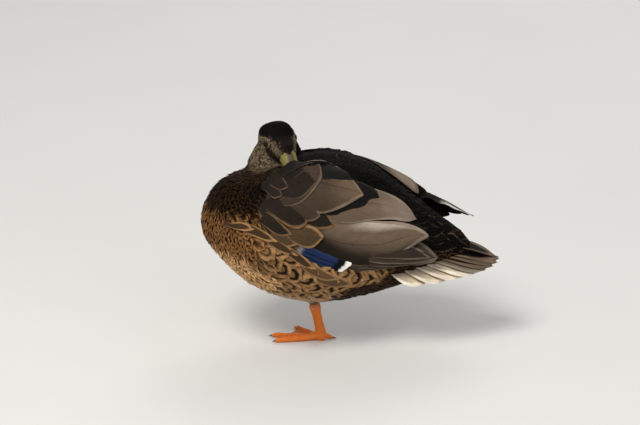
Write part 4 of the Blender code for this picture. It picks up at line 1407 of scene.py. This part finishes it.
eyes, lids = [], []
for word, side, centre in zip(("left", "right"), (1, -1), eyeSpots):
    out = side * headLeft
    bm = bmesh.new()
    bmesh.ops.create_uvsphere(bm, u_segments=40, v_segments=24, radius=head["eyeRadius"] * mm * 0.985)
    placedBy(bm, centre, headAhead, headUp * side, np.cross(headAhead, headUp * side))
    mesh = meshOf(bm, f"eye_{word}_ball")
    gazeWay = unit(out + headAhead * 0.25)
    painted(mesh, "gaze", "FLOAT", unit(pointsOf(mesh) / mm - centre) @ gazeWay)
    mesh.materials.append(eyeMaterial)
    mesh.shade_smooth()
    eyes.append(addObject(f"eyeball_{word}", mesh))
    # lids: two shells over the ball, cut to an open slit between them
    shellRadius = head["eyeRadius"] + 0.1
    cornerOut = math.sqrt(shellRadius**2 - eyeForm["corner"] ** 2)
    for part, sign, gape in (("upper", 1, eyeForm["above"]), ("lower", -1, eyeForm["below"])):
        bm = bmesh.new()
        bmesh.ops.create_uvsphere(bm, u_segments=48, v_segments=32, radius=shellRadius * mm)
        edgeOn = Vector((0, -sign * (math.sqrt(shellRadius**2 - gape**2) - cornerOut), gape))
        for at, way in ((cornerOut, edgeOn), (-0.5, Vector((0, 0, -1)))):
            shell = bm.verts[:] + bm.edges[:] + bm.faces[:]
            bmesh.ops.bisect_plane(bm, geom=shell, plane_co=(0, 0, at * mm), plane_no=way, clear_outer=True)
        bmesh.ops.recalc_face_normals(bm, faces=bm.faces[:])
        bmesh.ops.solidify(bm, geom=bm.faces[:], thickness=-eyeForm["lid"] * mm)
        placedBy(bm, centre, slitAhead, slitUp, out)
        bmesh.ops.recalc_face_normals(bm, faces=bm.faces[:])
        mesh = meshOf(bm, f"lid_{word}_{part}")
        past = np.abs(pastSlit(pointsOf(mesh) / mm - centre))
        atRim = ease(past, eyeForm["rim"] + 0.4, eyeForm["rim"] - 0.4)[:, None]
        base, rim = (linear(colour) for colour in eyeForm[part])
        painted(mesh, "lidTone", "FLOAT_COLOR", blend(base, rim, atRim))
        mesh.materials.append(lidMaterial)
        mesh.shade_smooth()
        lids.append(addObject(f"lid_{word}_{part}", mesh))

# the smallest feathers, on the lids and in the point that runs down the bill
lidVanes = {
    "count": 700,
    "polar": 84,  # how far round the ball they reach, in degrees
    "size": (2.3, 1.0),
    "lift": 0.32,
    "fringe": 0.5,
    "socket": (4.9, 5.6, 6.3, 7.0, 7.7),  # the rings behind the ball, in mm from its middle
    "socketOut": 3.2,
}
billPoint = {
    "along": (-2.5, 7.5),
    "half": 5.2,
    "narrowAt": 8.2,
    "spacing": 0.85,
    "stray": 0.2,
    "size": (3.0, 1.5),
    "lift": 0.5,
    "fringe": 0.25,
}
spots, ways = [], []
for side, centre in zip((1, -1), eyeSpots):
    out = side * headLeft
    for k in range(lidVanes["count"]):
        polar = math.sqrt((k + 0.5) / lidVanes["count"]) * math.radians(lidVanes["polar"])
        turn = k * 2.39996  # the golden angle spreads them evenly
        flat = headAhead * math.cos(turn) + headUp * math.sin(turn)
        way = out * math.cos(polar) + math.sin(polar) * flat
        height = pastSlit(way * head["eyeRadius"])
        behind = -way @ slitAhead * head["eyeRadius"] > eyeForm["corner"] - 0.2
        if height > 0.3 or height < -eyeForm["rim"] or behind:
            spots.append(centre + way * (head["eyeRadius"] + eyeForm["lid"]))
            ways.append(way)
    for turn in np.radians(np.arange(95, 266, 10)):  # behind the ball, over the rim of its socket
        backwards = slitAhead * math.cos(turn) + slitUp * math.sin(turn)
        for reach in lidVanes["socket"]:
            spots.append(centre + out * lidVanes["socketOut"] + backwards * reach)
            ways.append(out)
lidCount = len(spots)
stray, spacing = billPoint["stray"], billPoint["spacing"]
for a in np.arange(*billPoint["along"], spacing):
    halfWidth = billPoint["half"] * (1 - max(a, 0) / billPoint["narrowAt"])
    for b in np.arange(-halfWidth, halfWidth + 0.01, spacing):
        onwards, aside = billAhead * (a + rng.normal(0, stray)), billLeft * (b + rng.normal(0, stray))
        spots.append(billBase + onwards + aside + billUp * 14)
        ways.append(billUp)
spots, ways = np.array(spots), np.array(ways)
faceTree = treeOf([obj.data for obj in lids + [bill, bodySkin]])
for k in range(lidCount, len(spots)):
    at, way = faceTree.ray_cast(Vector(spots[k] * mm), Vector(-billUp), 0.02)[:2]
    spots[k] = np.array(at) / mm if at is not None else spots[k] - billUp * 3
    ways[k] = np.array(way) if at is not None else ways[k]
lie = -headAhead - headUp * 0.3 + 0 * ways
lie = unit(lie - ways * np.sum(lie * ways, 1)[:, None])
onLid = np.arange(len(spots)) < lidCount
seeds = rng.random(len(spots))
lengths, widths = (np.where(onLid, lid, point) for lid, point in zip(lidVanes["size"], billPoint["size"]))
lifts = np.where(onLid, lidVanes["lift"], billPoint["lift"])
places = layOnSkin(tinyVane, faceTree, spots * mm, ways, lie, lengths, widths, lifts, seeds)
lidTones = []
for word in ("centre", "edge"):
    upperLid, lowerLid, point = (linear(plumage[zone][word]) for zone in ("eyeLine", "cheek", "forehead"))
    onUpper = (ways @ slitUp > 0)[:, None]
    lidTones.append(np.where(onLid[:, None], np.where(onUpper, upperLid, lowerLid), point))
fringe = np.where(onLid, lidVanes["fringe"], billPoint["fringe"])
form = np.stack([fringe, 0 * seeds, np.ones(len(seeds)), seeds], 1)
patches = {"at": headPatch(spots), "size": patchSize}
tones = *lidTones, form
coatPieces.append(buildCoat("coatLids", tinyVane, places, tones, patches, faceFeathers))

claws = refined("claws", named("claw"))
material, tree, shader = newMaterial("clawHorn", 0.35)
streak = noiseOf(tree, objectPlace(tree), 420, 3)
colour = mixed(tree, streak, (0.05, 0.028, 0.016), (0.2, 0.1, 0.05))
shadeBy(tree, shader, Base_Color=colour, Roughness=streak * 0.3 + 0.25)
bumpInto(tree, shader, streak, 0.3, 0.0003)
coatOf(claws.data, material)

# on the frame
shown = [bodySkin, bill, claws, tailPiece, *eyes, *lids, *coatPieces, *wingPieces.values()]
for obj in shown:
    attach(obj, "root")
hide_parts(*bodyNodes, *legNodes)
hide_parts("bill_upper", "bill_lower")
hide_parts(*named("claw"))
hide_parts("tail")
for word, piece in wingPieces.items():
    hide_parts(*[f"{layer}_{word}" for layer in ("secondaries", "primaries", "tertials")])
for word, obj in zip(("left", "right"), eyes):
    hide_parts(f"eye_{word}")

# stage
bm = bmesh.new()
bmesh.ops.create_grid(bm, x_segments=2, y_segments=2, size=6)
floor = addObject("floor", meshOf(bm, "floor"))
material, tree, shader = newMaterial("paleFloor", 0.8)
clouds = noiseOf(tree, objectPlace(tree), 3)
shadeBy(tree, shader, Base_Color=mixed(tree, clouds, (0.62, 0.62, 0.61), (0.66, 0.66, 0.65)))
floor.data.materials.append(material)

light = {
    "key": {"at": (-0.9, -1.5, 2.5), "size": 1.2, "power": 72, "colour": (1.0, 0.96, 0.9)},
    "fill": {"at": (1.8, -1.9, 1.2), "size": 2.2, "power": 16, "colour": (0.95, 0.97, 1.0)},
    "back": {"at": (0.6, 2.2, 2.0), "size": 1.6, "power": 24, "colour": (1.0, 0.98, 0.95)},
    "world": (0.44, 0.44, 0.44),
}
aim = Vector((-0.02, 0, 0.13))
for name in ("key", "fill", "back"):
    lampData = bpy.data.lights.new(name, "AREA")
    lampData.size = light[name]["size"]
    lampData.energy = light[name]["power"]
    lampData.color = light[name]["colour"]
    lamp = addObject(name, lampData)
    lamp.location = light[name]["at"]
    lamp.rotation_euler = (aim - lamp.location).to_track_quat("-Z", "Y").to_euler()
world = bpy.data.worlds.new("studio")
bpy.context.scene.world = world
world.use_nodes = True
background = world.node_tree.nodes["Background"]
background.inputs["Color"].default_value = (*light["world"], 1)
background.inputs["Strength"].default_value = 1.0

view = {"target": (-0.0354, 0, 0.1628), "height": 20, "distance": 4.2667, "lens": 200}
cameraData = bpy.data.cameras.new("camera")
cameraData.lens = view["lens"]
camera = addObject("camera", cameraData)
rise = math.radians(view["height"])
target = Vector(view["target"])
camera.location = target + Vector((0, -math.cos(rise), math.sin(rise))) * view["distance"]
camera.rotation_euler = (target - camera.location).to_track_quat("-Z", "Y").to_euler()
bpy.context.scene.camera = camera
bpy.context.scene.view_settings.view_transform = "Standard"

print("triangles", sum(sum(len(face.vertices) - 2 for face in obj.data.polygons) for obj in shown))
